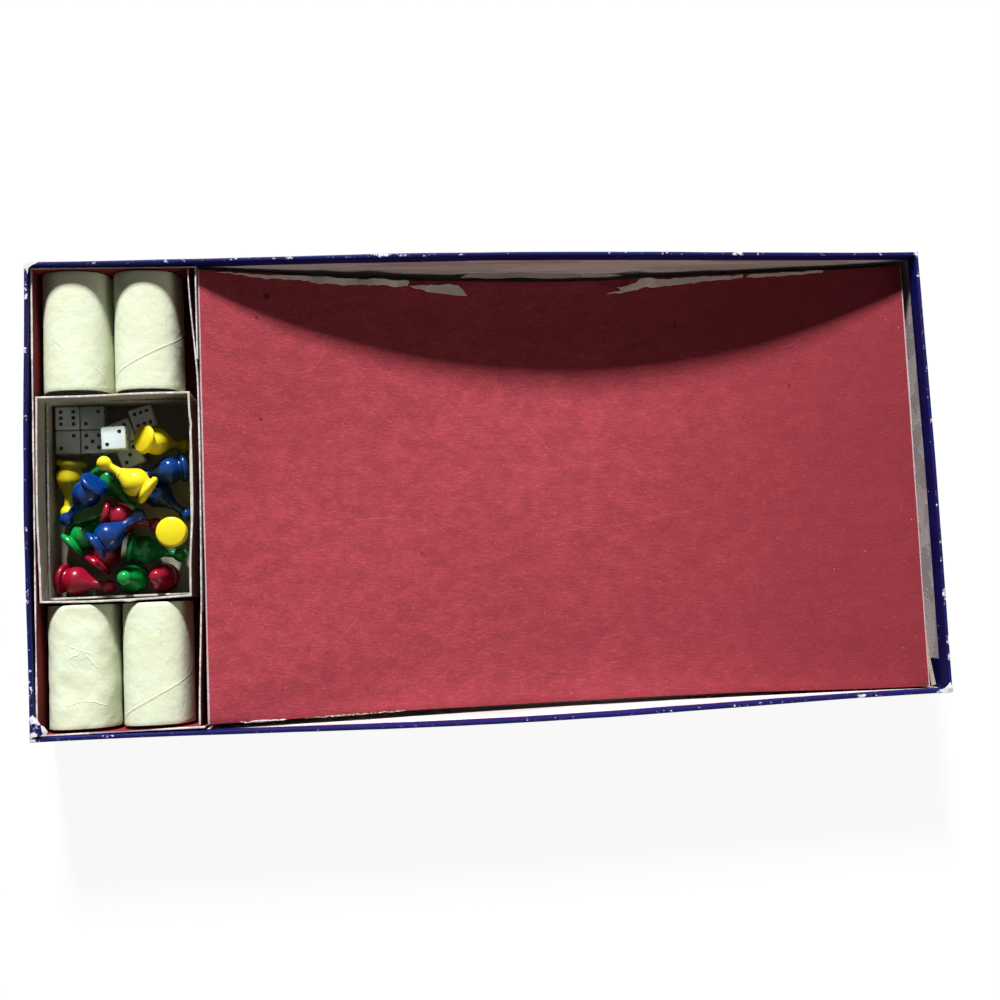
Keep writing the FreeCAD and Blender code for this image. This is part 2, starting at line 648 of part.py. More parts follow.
# The pockets must have taken board away and the pads must have added paper.
tray_block = size("box_length") * size("box_width") * size("box_height")
if box_tray.Shape.Volume > tray_block * 0.15:
    raise RuntimeError("box_tray is not hollow")
for body in (cover, inner_tray):
    block = body.Shape.BoundBox
    if body.Shape.Volume > block.XLength * block.YLength * block.ZLength * 0.4:
        raise RuntimeError(body.Label + " is not hollow")
for node in nodes:
    node.Shape.exportStep("parts/" + node.Label + ".step")
for node in nodes:
    bounds = node.Shape.BoundBox
    print("%-18s x %8.2f %8.2f  y %8.2f %8.2f  z %6.2f %6.2f" % (
        node.Label, bounds.XMin, bounds.XMax, bounds.YMin, bounds.YMax, bounds.ZMin, bounds.ZMax))
print("nodes", len(nodes))
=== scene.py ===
import logging
import math
from dataclasses import dataclass, field
from enum import Enum
from typing import Callable, List, Sequence, Tuple

import bmesh
import bpy
from mathutils import Matrix, Quaternion, Vector


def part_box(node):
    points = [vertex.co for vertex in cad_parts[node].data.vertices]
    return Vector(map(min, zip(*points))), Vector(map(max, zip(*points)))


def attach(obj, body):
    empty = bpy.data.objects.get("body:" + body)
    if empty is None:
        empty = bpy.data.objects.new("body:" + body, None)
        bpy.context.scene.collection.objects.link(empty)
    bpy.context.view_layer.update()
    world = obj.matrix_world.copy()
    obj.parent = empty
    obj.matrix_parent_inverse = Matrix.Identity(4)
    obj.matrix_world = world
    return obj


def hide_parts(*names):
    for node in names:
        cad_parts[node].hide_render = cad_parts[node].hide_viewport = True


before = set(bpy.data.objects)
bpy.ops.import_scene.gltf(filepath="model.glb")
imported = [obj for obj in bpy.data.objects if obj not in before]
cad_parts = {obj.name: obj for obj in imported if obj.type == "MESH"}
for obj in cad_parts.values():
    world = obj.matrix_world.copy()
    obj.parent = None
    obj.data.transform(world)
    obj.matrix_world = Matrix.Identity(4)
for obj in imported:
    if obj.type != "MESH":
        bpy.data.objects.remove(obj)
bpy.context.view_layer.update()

MM = 0.001
TINY = 1.0e-6
log = logging.getLogger("game_box")

Colour = Tuple[float, float, float]
Test = Callable[[Vector, Vector], bool]


class Pick(Enum):
    """What an edit-mode selection picks."""

    VERT = (True, False, False)
    EDGE = (False, True, False)
    FACE = (False, False, True)


class Axis(Enum):
    """The three directions of the box."""

    X = (1.0, 0.0, 0.0)
    Y = (0.0, 1.0, 0.0)
    Z = (0.0, 0.0, 1.0)


class PawnColour(Enum):
    """The four colours of the playing pieces, as seen."""

    YELLOW = (228, 208, 30)
    BLUE = (3, 46, 108)
    GREEN = (8, 132, 56)
    RED = (132, 10, 36)



def tone(red: float, green: float, blue: float) -> Colour:
    """Turns a colour written in screen values, 0 to 255, into linear light.

    Args:
        red: red part.
        green: green part.
        blue: blue part.

    Returns:
        The three linear parts.
    """
    def one(part: float) -> float:
        """Linear value of one part."""
        share = part / 255.0
        return share / 12.92 if share <= 0.04045 else ((share + 0.055) / 1.055) ** 2.4

    return (one(red), one(green), one(blue))


def lay_down() -> None:
    """Leaves edit mode and deselects everything."""
    if bpy.context.mode != "OBJECT":
        bpy.ops.object.mode_set(mode="OBJECT")
    bpy.ops.object.select_all(action="DESELECT")


def take(piece: bpy.types.Object) -> None:
    """Makes one piece the only selected and active one."""
    lay_down()
    piece.select_set(True)
    bpy.context.view_layer.objects.active = piece


def open_up(piece: bpy.types.Object, mode: Pick) -> None:
    """Enters edit mode on a piece with nothing selected."""
    take(piece)
    bpy.ops.object.mode_set(mode="EDIT")
    bpy.context.tool_settings.mesh_select_mode = mode.value
    bpy.ops.mesh.select_all(action="DESELECT")


def pick(piece: bpy.types.Object, mode: Pick, test: Test) -> int:
    """Selects elements by place and normal, in edit mode.

    Args:
        piece: the mesh being edited.
        mode: what to pick.
        test: takes the element's middle and normal, says if it is wanted.

    Returns:
        How many were picked.
    """
    bpy.context.tool_settings.mesh_select_mode = mode.value
    bpy.ops.mesh.select_all(action="DESELECT")
    net = bmesh.from_edit_mesh(piece.data)
    net.normal_update()
    count = 0
    if mode is Pick.VERT:
        items = [(vert, vert.co, vert.normal) for vert in net.verts]
    elif mode is Pick.EDGE:
        items = [(edge, (edge.verts[0].co + edge.verts[1].co) / 2,
                  (edge.verts[0].normal + edge.verts[1].normal) / 2) for edge in net.edges]
    else:
        items = [(face, face.calc_center_median(), face.normal) for face in net.faces]
    for item, middle, normal in items:
        if not item.hide and test(middle, normal):
            item.select_set(True)
            count += 1
    bmesh.update_edit_mesh(piece.data)
    return count


def pick_edges(piece: bpy.types.Object, test: Callable[[Vector, Vector], bool]) -> int:
    """Selects edges by their two ends, in edit mode.

    Args:
        piece: the mesh being edited.
        test: takes the two ends and says if the edge is wanted.

    Returns:
        How many were picked.
    """
    bpy.context.tool_settings.mesh_select_mode = Pick.EDGE.value
    bpy.ops.mesh.select_all(action="DESELECT")
    net = bmesh.from_edit_mesh(piece.data)
    count = 0
    for edge in net.edges:
        if test(edge.verts[0].co, edge.verts[1].co):
            edge.select_set(True)
            count += 1
    bmesh.update_edit_mesh(piece.data)
    return count


def fix_place(piece: bpy.types.Object) -> None:
    """Moves a piece's place, turn and scale into its mesh."""
    take(piece)
    bpy.ops.object.transform_apply(location=True, rotation=True, scale=True)


def block(name: str, low: Vector, high: Vector) -> bpy.types.Object:
    """Rectangular blank between two corners.

    Args:
        name: name of the piece.
        low: lowest corner in metres.
        high: highest corner in metres.

    Returns:
        The new piece.
    """
    lay_down()
    low, high = Vector(low), Vector(high)
    bpy.ops.mesh.primitive_cube_add(size=1.0, location=(low + high) / 2, scale=high - low)
    piece = bpy.context.object
    piece.name = name
    fix_place(piece)
    return piece


def slice_at(piece: bpy.types.Object, axis: Axis, places: Sequence[float]) -> None:
    """Cuts new edge lines through a piece, square to an axis, at the given places."""
    open_up(piece, Pick.FACE)
    normal = Vector(axis.value)
    for place in places:
        bpy.ops.mesh.select_all(action="SELECT")
        bpy.ops.mesh.bisect(plane_co=normal * place, plane_no=normal)
    lay_down()


def steps(low: float, high: float, count: int) -> List[float]:
    """Even places strictly between two ends."""
    return [low + (high - low) * (index + 1) / (count + 1) for index in range(count)]


def finish_with(piece: bpy.types.Object, kind: str, **settings: object) -> None:
    """Adds one modifier, sets it up and applies it."""
    modifier = piece.modifiers.new(kind.title(), kind)
    for key, value in settings.items():
        setattr(modifier, key, value)
    take(piece)
    bpy.ops.object.modifier_apply(modifier=modifier.name)


def ripple(piece: bpy.types.Object, size: float, strength: float, kind: str = "CLOUDS",
           direction: str = "NORMAL") -> None:
    """Makes a surface slightly uneven, as card and paper are.

    Args:
        piece: piece to work on.
        size: breadth of the unevenness in metres.
        strength: full depth in metres.
        kind: kind of noise.
        direction: way in which points move.
    """
    noise = bpy.data.textures.new(piece.name + "_noise", kind)
    if hasattr(noise, "noise_scale"):
        noise.noise_scale = size
    finish_with(piece, "DISPLACE", texture=noise, texture_coords="LOCAL", strength=strength,
                mid_level=0.5, direction=direction)


def press_out(piece: bpy.types.Object, place: Vector, push: Vector, reach: float, grip: float,
              falloff: str = "SMOOTH") -> None:
    """Pushes the part of a piece near a place, with its surroundings following softly.

    Args:
        piece: piece to bend.
        place: middle of the push, height ignored.
        push: how far and which way, in metres.
        reach: how far the surroundings follow.
        grip: radius held by the push itself.
        falloff: how the push fades.
    """
    open_up(piece, Pick.VERT)
    if pick(piece, Pick.VERT, lambda at, n: math.hypot(at.x - place.x, at.y - place.y) < grip):
        bpy.ops.transform.translate(value=push, use_proportional_edit=True,
                                    proportional_edit_falloff=falloff, proportional_size=reach)
    lay_down()


def dent(piece: bpy.types.Object, place: Vector, push: Vector, reach: float, grip: float) -> None:
    """Pushes one small spot of a surface, found by its full place.

    Args:
        piece: piece to dent.
        place: middle of the spot.
        push: how far and which way, in metres.
        reach: how far the surroundings follow.
        grip: radius held by the push itself.
    """
    open_up(piece, Pick.VERT)
    if pick(piece, Pick.VERT, lambda at, n: (at - place).length < grip):
        bpy.ops.transform.translate(value=push, use_proportional_edit=True,
                                    proportional_edit_falloff="SMOOTH", proportional_size=reach)
    lay_down()


def lean_wall(piece: bpy.types.Object, place: Vector, push: Vector, reach: float, top: float,
              falloff: str = "SMOOTH") -> None:
    """Bows a standing wall row by row, nothing at its foot and most at its top.

    Args:
        piece: piece to bend.
        place: middle of the push, height ignored.
        push: push at the top, in metres.
        reach: how far the wall follows on each side.
        top: height at which the push is full.
        falloff: how the push fades along the wall.
    """
    open_up(piece, Pick.VERT)
    net = bmesh.from_edit_mesh(piece.data)
    levels = sorted({round(vert.co.z, 5) for vert in net.verts})
    rows: List[List[float]] = []
    for level in levels:
        if rows and level - rows[-1][0] < 1.5 * MM:
            rows[-1].append(level)
        else:
            rows.append([level])
    for row in rows:
        low, high = row[0] - 0.01 * MM, row[-1] + 0.01 * MM
        share = min(max(row[-1] / top, 0.0), 1.0) ** 0.6
        if share < 0.05:
            continue
        pick(piece, Pick.VERT, lambda at, n: low <= at.z <= high)
        bpy.ops.mesh.hide(unselected=True)
        if pick(piece, Pick.VERT, lambda at, n: math.hypot(at.x - place.x, at.y - place.y) < 14 * MM):
            bpy.ops.transform.translate(value=push * share, use_proportional_edit=True,
                                        proportional_edit_falloff=falloff, proportional_size=reach)
        bpy.ops.mesh.reveal(select=False)
    lay_down()


def trace(name: str, places: Sequence[Tuple[float, float, float]], closed: bool) -> bpy.types.Object:
    """Draws a run of edges through places, and fills it if it is closed.

    Args:
        name: name of the piece.
        places: corners in metres, in order.
        closed: whether the run closes into a face.

    Returns:
        The new piece.
    """
    lay_down()
    bpy.ops.mesh.primitive_plane_add(size=MM, location=places[0])
    piece = bpy.context.object
    piece.name = name
    fix_place(piece)
    open_up(piece, Pick.VERT)
    bpy.ops.mesh.select_all(action="SELECT")
    bpy.ops.mesh.merge(type="CENTER")
    for start, end in zip(places, places[1:]):
        step = Vector(end) - Vector(start)
        bpy.ops.mesh.extrude_region_move(TRANSFORM_OT_translate={"value": step})
    if closed:
        bpy.ops.mesh.select_all(action="SELECT")
        bpy.ops.mesh.edge_face_add()
    lay_down()
    return piece


def face_up(piece: bpy.types.Object) -> None:
    """Turns the faces of an open sheet upwards."""
    open_up(piece, Pick.FACE)
    net = bmesh.from_edit_mesh(piece.data)
    net.normal_update()
    down = sum(face.normal.z * face.calc_area() for face in net.faces) < 0
    bpy.ops.mesh.select_all(action="SELECT")
    if down:
        bpy.ops.mesh.flip_normals()
    lay_down()


def paint(piece: bpy.types.Object, base: bpy.types.Material,
          parts: Sequence[Tuple[bpy.types.Material, Test]] = ()) -> None:
    """Gives a piece its base finish and other finishes on chosen faces.

    Args:
        piece: piece to finish.
        base: finish of the whole.
        parts: further finishes, each with a test of place and normal.
    """
    piece.data.materials.clear()
    piece.data.materials.append(base)
    for index, (material, test) in enumerate(parts, start=1):
        piece.data.materials.append(material)
        open_up(piece, Pick.FACE)
        if pick(piece, Pick.FACE, test):
            piece.active_material_index = index
            bpy.ops.object.material_slot_assign()
        lay_down()


def torn_sheet(name: str, outline: Sequence[Tuple[float, float]], height: float, lifts: Sequence[Tuple[float, float, float, float]],
               thickness: float = 0.25) -> bpy.types.Object:
    """Thin ragged scrap of paper that lies level.

    Args:
        name: name of the piece.
        outline: corners seen from above, in millimetres and in order.
        height: height it lies at, in metres.
        lifts: spots that curl up: x, y, height and reach in millimetres.
        thickness: its thickness in millimetres.

    Returns:
        The piece.
    """
    piece = trace(name, [(x_mm * MM, y_mm * MM, height) for x_mm, y_mm in outline], True)
    for axis, index in ((Axis.X, 0), (Axis.Y, 1)):
        spots = [place[index] * MM for place in outline]
        slice_at(piece, axis, steps(min(spots), max(spots), 12))
    ripple(piece, 0.0025, 0.9 * MM, direction="X")
    ripple(piece, 0.0025, 0.9 * MM, direction="Y")
    for x_mm, y_mm, rise, reach in lifts:
        press_out(piece, Vector((x_mm * MM, y_mm * MM, height)), Vector((0, 0, rise * MM)), reach * MM, 1.5 * MM)
    face_up(piece)
    finish_with(piece, "SOLIDIFY", thickness=thickness * MM, offset=1.0)
    soft_shade(piece)
    return piece


def join_up(pieces: Sequence[bpy.types.Object], name: str) -> bpy.types.Object:
    """Joins several blanks into one piece."""
    lay_down()
    for piece in pieces:
        piece.select_set(True)
    bpy.context.view_layer.objects.active = pieces[0]
    if len(pieces) > 1:
        bpy.ops.object.join()
    whole = bpy.context.view_layer.objects.active
    whole.name = name
    return whole


def soft_shade(piece: bpy.types.Object, degrees: float = 35.0) -> None:
    """Shades curved parts smooth and keeps edges sharper than an angle."""
    take(piece)
    bpy.ops.object.shade_smooth_by_angle(angle=math.radians(degrees))


def copy_of(piece: bpy.types.Object, name: str) -> bpy.types.Object:
    """Copy of a piece with a mesh of its own."""
    twin = piece.copy()
    twin.data = piece.data.copy()
    twin.name = name
    bpy.context.collection.objects.link(twin)
    return twin


def dress(piece: bpy.types.Object, material: bpy.types.Material, body: str,
          nodes: Sequence[str] = ()) -> None:
    """Gives a finished piece its material and its place in the moving frame.

    Args:
        piece: finished piece.
        material: its finish.
        body: the body it rides on.
        nodes: solids that it stands for.
    """
    if not piece.data.materials:
        piece.data.materials.append(material)
    piece.data.name = piece.name
    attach(piece, body)
    if nodes:
        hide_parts(*nodes)
    log.info("%s: %d faces on %s", piece.name, len(piece.data.polygons), body)



class Graph:
    """Short way to lay shader nodes in one tree."""

    def __init__(self, tree: bpy.types.NodeTree) -> None:
        """Takes the tree to work in."""
        self.tree = tree

    def add(self, kind: str, **settings: object) -> bpy.types.Node:
        """New node of a kind with its settings."""
        node = self.tree.nodes.new(kind)
        for key, value in settings.items():
            setattr(node, key, value)
        return node

    def feed(self, node: bpy.types.Node, socket: object, value: object) -> None:
        """Links a socket, or sets it to a plain value."""
        target = node.inputs[socket]
        if isinstance(value, bpy.types.NodeSocket):
            self.tree.links.new(value, target)
        else:
            target.default_value = value

    def math(self, how: str, first: object, second: object = 0.0, clamp: bool = False) -> bpy.types.NodeSocket:
        """Result of one sum."""
        node = self.add("ShaderNodeMath", operation=how, use_clamp=clamp)
        self.feed(node, 0, first)
        self.feed(node, 1, second)
        return node.outputs[0]

    def noise(self, vector: object, scale: float, detail: float = 4.0, rough: float = 0.5,
              distortion: float = 0.0) -> bpy.types.NodeSocket:
        """Value of a noise over the surface."""
        node = self.add("ShaderNodeTexNoise")
        self.feed(node, "Vector", vector)
        for name, value in (("Scale", scale), ("Detail", detail), ("Roughness", rough), ("Distortion", distortion)):
            self.feed(node, name, value)
        return node.outputs["Fac"]

    def cells(self, vector: object, scale: float) -> bpy.types.NodeSocket:
        """Distance to the nearest of scattered points."""
        node = self.add("ShaderNodeTexVoronoi")
        self.feed(node, "Vector", vector)
        self.feed(node, "Scale", scale)
        return node.outputs["Distance"]

    def span(self, value: object, low: object, high: object, start: float = 0.0, end: float = 1.0) -> bpy.types.NodeSocket:
        """Value rescaled smoothly from one span to another and held inside it."""
        node = self.add("ShaderNodeMapRange", interpolation_type="SMOOTHSTEP")
        for index, item in enumerate((value, low, high, start, end)):
            self.feed(node, index, item)
        return node.outputs[0]

    def blend(self, share: object, under: object, over: object, how: str = "MIX") -> bpy.types.NodeSocket:
        """Two colours mixed by a share."""
        node = self.add("ShaderNodeMix", data_type="RGBA", blend_type=how)
        self.feed(node, 0, share)
        for index, colour in ((6, under), (7, over)):
            self.feed(node, index, colour if isinstance(colour, bpy.types.NodeSocket) else (*colour, 1.0))
        return node.outputs[2]

    def place(self) -> bpy.types.NodeSocket:
        """Place on the piece in its own coordinates."""
        return self.add("ShaderNodeTexCoord").outputs["Object"]

    def parts(self, vector: object) -> Tuple[bpy.types.NodeSocket, bpy.types.NodeSocket, bpy.types.NodeSocket]:
        """The three parts of a vector."""
        node = self.add("ShaderNodeSeparateXYZ")
        self.feed(node, 0, vector)
        return (node.outputs[0], node.outputs[1], node.outputs[2])

    def stretch(self, vector: object, scale: Sequence[float], turn: float = 0.0) -> bpy.types.NodeSocket:
        """Coordinates stretched, and turned about the vertical."""
        node = self.add("ShaderNodeMapping")
        self.feed(node, "Vector", vector)
        node.inputs["Scale"].default_value = scale
        node.inputs["Rotation"].default_value = (0.0, 0.0, turn)
        return node.outputs[0]

    def group(self, tree: bpy.types.NodeTree, **values: object) -> bpy.types.Node:
        """Shared effect placed with its own values; underscores stand for spaces."""
        node = self.add("ShaderNodeGroup")
        node.node_tree = tree
        for key, value in values.items():
            self.feed(node, key.replace("_", " "), value)
        return node


def new_effect(name: str, inputs: Sequence[Tuple[str, str, object]], outputs: Sequence[Tuple[str, str]]) -> Tuple[bpy.types.NodeTree, Graph, bpy.types.Node, bpy.types.Node]:
    """Empty shared effect with named inputs and outputs.

    Args:
        name: name of the effect.
        inputs: name, socket kind and first value of each input.
        outputs: name and socket kind of each output.

    Returns:
        The tree, its graph, its input node and its output node.
    """
    tree = bpy.data.node_groups.new(name, "ShaderNodeTree")
    for label, kind, value in inputs:
        socket = tree.interface.new_socket(label, in_out="INPUT", socket_type=kind)
        if value is not None:
            socket.default_value = value
    for label, kind in outputs:
        tree.interface.new_socket(label, in_out="OUTPUT", socket_type=kind)
    graph = Graph(tree)
    return tree, graph, graph.add("NodeGroupInput"), graph.add("NodeGroupOutput")


FLOAT, VECTOR = "NodeSocketFloat", "NodeSocketVector"


class Effects:
    """Shared surface effects, each built once."""

    def __init__(self) -> None:
        """Builds all of them."""
        self.fibres = self._fibres()
        self.specks = self._specks()
        self.rim_wear = self._rim_wear()
        self.clouding = self._clouding()
        self.scratches = self._scratches()
        self.wound_seam = self._wound_seam()
        self.crease = self._crease()
        self.worn_spot = self._worn_spot()
        self.torn_layers = self._torn_layers()

    def _fibres(self) -> bpy.types.NodeTree:
        """Fine drawn-out fibres of card and paper."""
        tree, graph, given, made = new_effect("card_fibres", [("Vector", VECTOR, None), ("Length", FLOAT, 6.0), ("Scale", FLOAT, 900.0)],
                                              [("Value", FLOAT), ("Height", FLOAT)])
        x_part, y_part, z_part = graph.parts(given.outputs["Vector"])
        drawn = graph.math("DIVIDE", x_part, given.outputs["Length"])
        joined = graph.add("ShaderNodeCombineXYZ")
        graph.feed(joined, 0, drawn)
        graph.feed(joined, 1, y_part)
        graph.feed(joined, 2, z_part)
        noise = graph.add("ShaderNodeTexNoise")
        graph.feed(noise, "Vector", joined.outputs[0])
        graph.feed(noise, "Scale", given.outputs["Scale"])
        graph.feed(noise, "Detail", 5.0)
        graph.feed(noise, "Roughness", 0.65)
        graph.feed(made, "Value", graph.span(noise.outputs["Fac"], 0.35, 0.68))
        graph.feed(made, "Height", noise.outputs["Fac"])
        return tree

    def _specks(self) -> bpy.types.NodeTree:
        """Scattered small flecks of uneven size."""
        tree, graph, given, made = new_effect("flecks", [("Vector", VECTOR, None), ("Scale", FLOAT, 160.0), ("Size", FLOAT, 0.12), ("Share", FLOAT, 0.5)],
                                              [("Mask", FLOAT)])
        cells = graph.add("ShaderNodeTexVoronoi")
        graph.feed(cells, "Vector", given.outputs["Vector"])
        graph.feed(cells, "Scale", given.outputs["Scale"])
        dot = graph.math("LESS_THAN", cells.outputs["Distance"], given.outputs["Size"])
        hue = graph.add("ShaderNodeSeparateColor")
        graph.feed(hue, 0, cells.outputs["Color"])
        kept = graph.math("LESS_THAN", hue.outputs[0], given.outputs["Share"])
        graph.feed(made, "Mask", graph.math("MULTIPLY", dot, kept))
        return tree

    def _rim_wear(self) -> bpy.types.NodeTree:
        """Rubbed-through patches that grow towards a height."""
        tree, graph, given, made = new_effect("rim_wear", [("Vector", VECTOR, None), ("Edge", FLOAT, 0.044), ("Depth", FLOAT, 0.003), ("Amount", FLOAT, 0.5), ("Scale", FLOAT, 90.0)],
                                              [("Mask", FLOAT)])
        height = graph.parts(given.outputs["Vector"])[2]
        below = graph.math("SUBTRACT", given.outputs["Edge"], height)
        near = graph.span(graph.math("DIVIDE", below, given.outputs["Depth"]), 0.0, 1.0, 1.0, 0.0)
        noise = graph.add("ShaderNodeTexNoise")
        graph.feed(noise, "Vector", given.outputs["Vector"])
        graph.feed(noise, "Scale", given.outputs["Scale"])
        graph.feed(noise, "Detail", 7.0)
        graph.feed(noise, "Roughness", 0.75)
        limit = graph.math("SUBTRACT", 1.0, graph.math("MULTIPLY", near, given.outputs["Amount"]))
        over = graph.math("SUBTRACT", noise.outputs["Fac"], limit)
        graph.feed(made, "Mask", graph.span(over, -0.02, 0.03))
        return tree

    def _clouding(self) -> bpy.types.NodeTree:
        """Broad soft unevenness of tone."""
        tree, graph, given, made = new_effect("clouding", [("Vector", VECTOR, None), ("Scale", FLOAT, 8.0)], [("Value", FLOAT)])
        noise = graph.add("ShaderNodeTexNoise")
        graph.feed(noise, "Vector", given.outputs["Vector"])
        graph.feed(noise, "Scale", given.outputs["Scale"])
        graph.feed(noise, "Detail", 3.0)
        graph.feed(made, "Value", graph.span(noise.outputs["Fac"], 0.3, 0.7))
        return tree

    def _scratches(self) -> bpy.types.NodeTree:
        """Thin long rub lines at one slant."""
        tree, graph, given, made = new_effect("rub_lines", [("Vector", VECTOR, None), ("Scale", FLOAT, 30.0), ("Width", FLOAT, 0.01)], [("Mask", FLOAT)])
        noise = graph.add("ShaderNodeTexNoise")
        graph.feed(noise, "Vector", given.outputs["Vector"])
        graph.feed(noise, "Scale", given.outputs["Scale"])
        graph.feed(noise, "Detail", 1.0)
        away = graph.math("ABSOLUTE", graph.math("SUBTRACT", noise.outputs["Fac"], 0.5))
        line = graph.span(away, 0.0, given.outputs["Width"], 1.0, 0.0)
        broken = graph.add("ShaderNodeTexNoise")
        graph.feed(broken, "Vector", given.outputs["Vector"])
        graph.feed(broken, "Scale", graph.math("MULTIPLY", given.outputs["Scale"], 2.3))
        gate = graph.span(broken.outputs["Fac"], 0.55, 0.62)
        graph.feed(made, "Mask", graph.math("MULTIPLY", line, gate))
        return tree

    def _wound_seam(self) -> bpy.types.NodeTree:
        """One seam that winds round a tube lying along Y; its Ridge feeds a bump and a painted highlight, and its Line,
        just beside the ridge, a painted shadow.
        """
        tree, graph, given, made = new_effect("wound_seam", [("Vector", VECTOR, None), ("Centre X", FLOAT, 0.0), ("Centre Z", FLOAT, 0.0), ("Pitch", FLOAT, 0.09), ("Start", FLOAT, 0.0)],
                                              [("Line", FLOAT), ("Ridge", FLOAT)])
        x_part, y_part, z_part = graph.parts(given.outputs["Vector"])
        turn = graph.math("ARCTAN2", graph.math("SUBTRACT", z_part, given.outputs["Centre Z"]),
                          graph.math("SUBTRACT", x_part, given.outputs["Centre X"]))
        share = graph.math("DIVIDE", turn, 2 * math.pi)
        along = graph.math("DIVIDE", graph.math("SUBTRACT", y_part, given.outputs["Start"]), given.outputs["Pitch"])
        tooth = graph.math("FRACT", graph.math("ADD", along, share))
        graph.feed(made, "Line", graph.span(graph.math("ABSOLUTE", graph.math("SUBTRACT", tooth, 0.485)), 0.0, 0.009, 1.0, 0.0))
        graph.feed(made, "Ridge", graph.span(graph.math("ABSOLUTE", graph.math("SUBTRACT", tooth, 0.5)), 0.0, 0.012, 1.0, 0.0))
        return tree


    def _crease(self) -> bpy.types.NodeTree:
        """One short crease across the top of a surface, seen from above; its mask feeds a bump and a painted highlight.
        """
        tree, graph, given, made = new_effect("crease", [("Vector", VECTOR, None), ("From X", FLOAT, 0.0), ("From Y", FLOAT, 0.0), ("To X", FLOAT, 0.01),
                                                         ("To Y", FLOAT, 0.0), ("Width", FLOAT, 0.0004)], [("Mask", FLOAT)])
        wobble = graph.add("ShaderNodeTexNoise")
        graph.feed(wobble, "Vector", given.outputs["Vector"])
        graph.feed(wobble, "Scale", 170.0)
        stray = graph.math("MULTIPLY", graph.math("SUBTRACT", wobble.outputs["Fac"], 0.5), 0.0035)
        x_part, y_part, _ = graph.parts(given.outputs["Vector"])
        ahead_x = graph.math("SUBTRACT", given.outputs["To X"], given.outputs["From X"])
        ahead_y = graph.math("SUBTRACT", given.outputs["To Y"], given.outputs["From Y"])
        off_x = graph.math("SUBTRACT", graph.math("ADD", x_part, stray), given.outputs["From X"])
        off_y = graph.math("SUBTRACT", graph.math("SUBTRACT", y_part, stray), given.outputs["From Y"])
        square = graph.math("ADD", graph.math("MULTIPLY", ahead_x, ahead_x), graph.math("MULTIPLY", ahead_y, ahead_y))
        along = graph.math("ADD", graph.math("MULTIPLY", off_x, ahead_x), graph.math("MULTIPLY", off_y, ahead_y))
        share = graph.math("DIVIDE", along, square, clamp=True)
        near_x = graph.math("SUBTRACT", off_x, graph.math("MULTIPLY", ahead_x, share))
        near_y = graph.math("SUBTRACT", off_y, graph.math("MULTIPLY", ahead_y, share))
        apart = graph.math("SQRT", graph.math("ADD", graph.math("MULTIPLY", near_x, near_x), graph.math("MULTIPLY", near_y, near_y)))
        fade = graph.math("MULTIPLY", share, graph.math("SUBTRACT", 1.0, share))
        width = graph.math("MULTIPLY", given.outputs["Width"], graph.math("ADD", 0.45, graph.math("MULTIPLY", fade, 3.2)))
        graph.feed(made, "Mask", graph.span(graph.math("DIVIDE", apart, width), 0.0, 1.0, 1.0, 0.0))
        return tree

    def _worn_spot(self) -> bpy.types.NodeTree:
        """Share that grows towards one upright line."""
        tree, graph, given, made = new_effect("worn_spot", [("Vector", VECTOR, None), ("X", FLOAT, 0.0), ("Y", FLOAT, 0.0), ("Reach", FLOAT, 0.012)],
                                              [("Share", FLOAT)])
        x_part, y_part, _ = graph.parts(given.outputs["Vector"])
        off_x = graph.math("SUBTRACT", x_part, given.outputs["X"])
        off_y = graph.math("SUBTRACT", y_part, given.outputs["Y"])
        apart = graph.math("SQRT", graph.math("ADD", graph.math("MULTIPLY", off_x, off_x), graph.math("MULTIPLY", off_y, off_y)))
        graph.feed(made, "Share", graph.span(graph.math("DIVIDE", apart, given.outputs["Reach"]), 0.2, 1.0, 1.0, 0.0))
        return tree

    def _torn_layers(self) -> bpy.types.NodeTree:
        """Torn layers of board with sharp drawn-out borders."""
        tree, graph, given, made = new_effect("torn_layers", [("Vector", VECTOR, None), ("Scale", FLOAT, 30.0)], [("Step", FLOAT), ("Border", FLOAT)])
        noise = graph.add("ShaderNodeTexNoise")
        graph.feed(noise, "Vector", given.outputs["Vector"])
        graph.feed(noise, "Scale", given.outputs["Scale"])
        graph.feed(noise, "Detail", 5.0)
        graph.feed(noise, "Roughness", 0.6)
        graph.feed(made, "Step", graph.span(noise.outputs["Fac"], 0.50, 0.515))
        away = graph.math("ABSOLUTE", graph.math("SUBTRACT", noise.outputs["Fac"], 0.507))
        graph.feed(made, "Border", graph.span(away, 0.0, 0.012, 1.0, 0.0))
        return tree


def new_finish(name: str) -> Tuple[bpy.types.Material, Graph, bpy.types.Node]:
    """Material with only its surface shader and output."""
    material = bpy.data.materials.new(name)
    material.use_nodes = True
    graph = Graph(material.node_tree)
    return material, graph, material.node_tree.nodes["Principled BSDF"]


def emboss(graph: Graph, shader: bpy.types.Node, height: object, strength: float, depth: float) -> None:
    """Feeds the shader's normal from a height."""
    bump = graph.add("ShaderNodeBump")
    bump.inputs["Strength"].default_value = strength
    bump.inputs["Distance"].default_value = depth
    graph.feed(bump, "Height", height)
    graph.feed(shader, "Normal", bump.outputs[0])


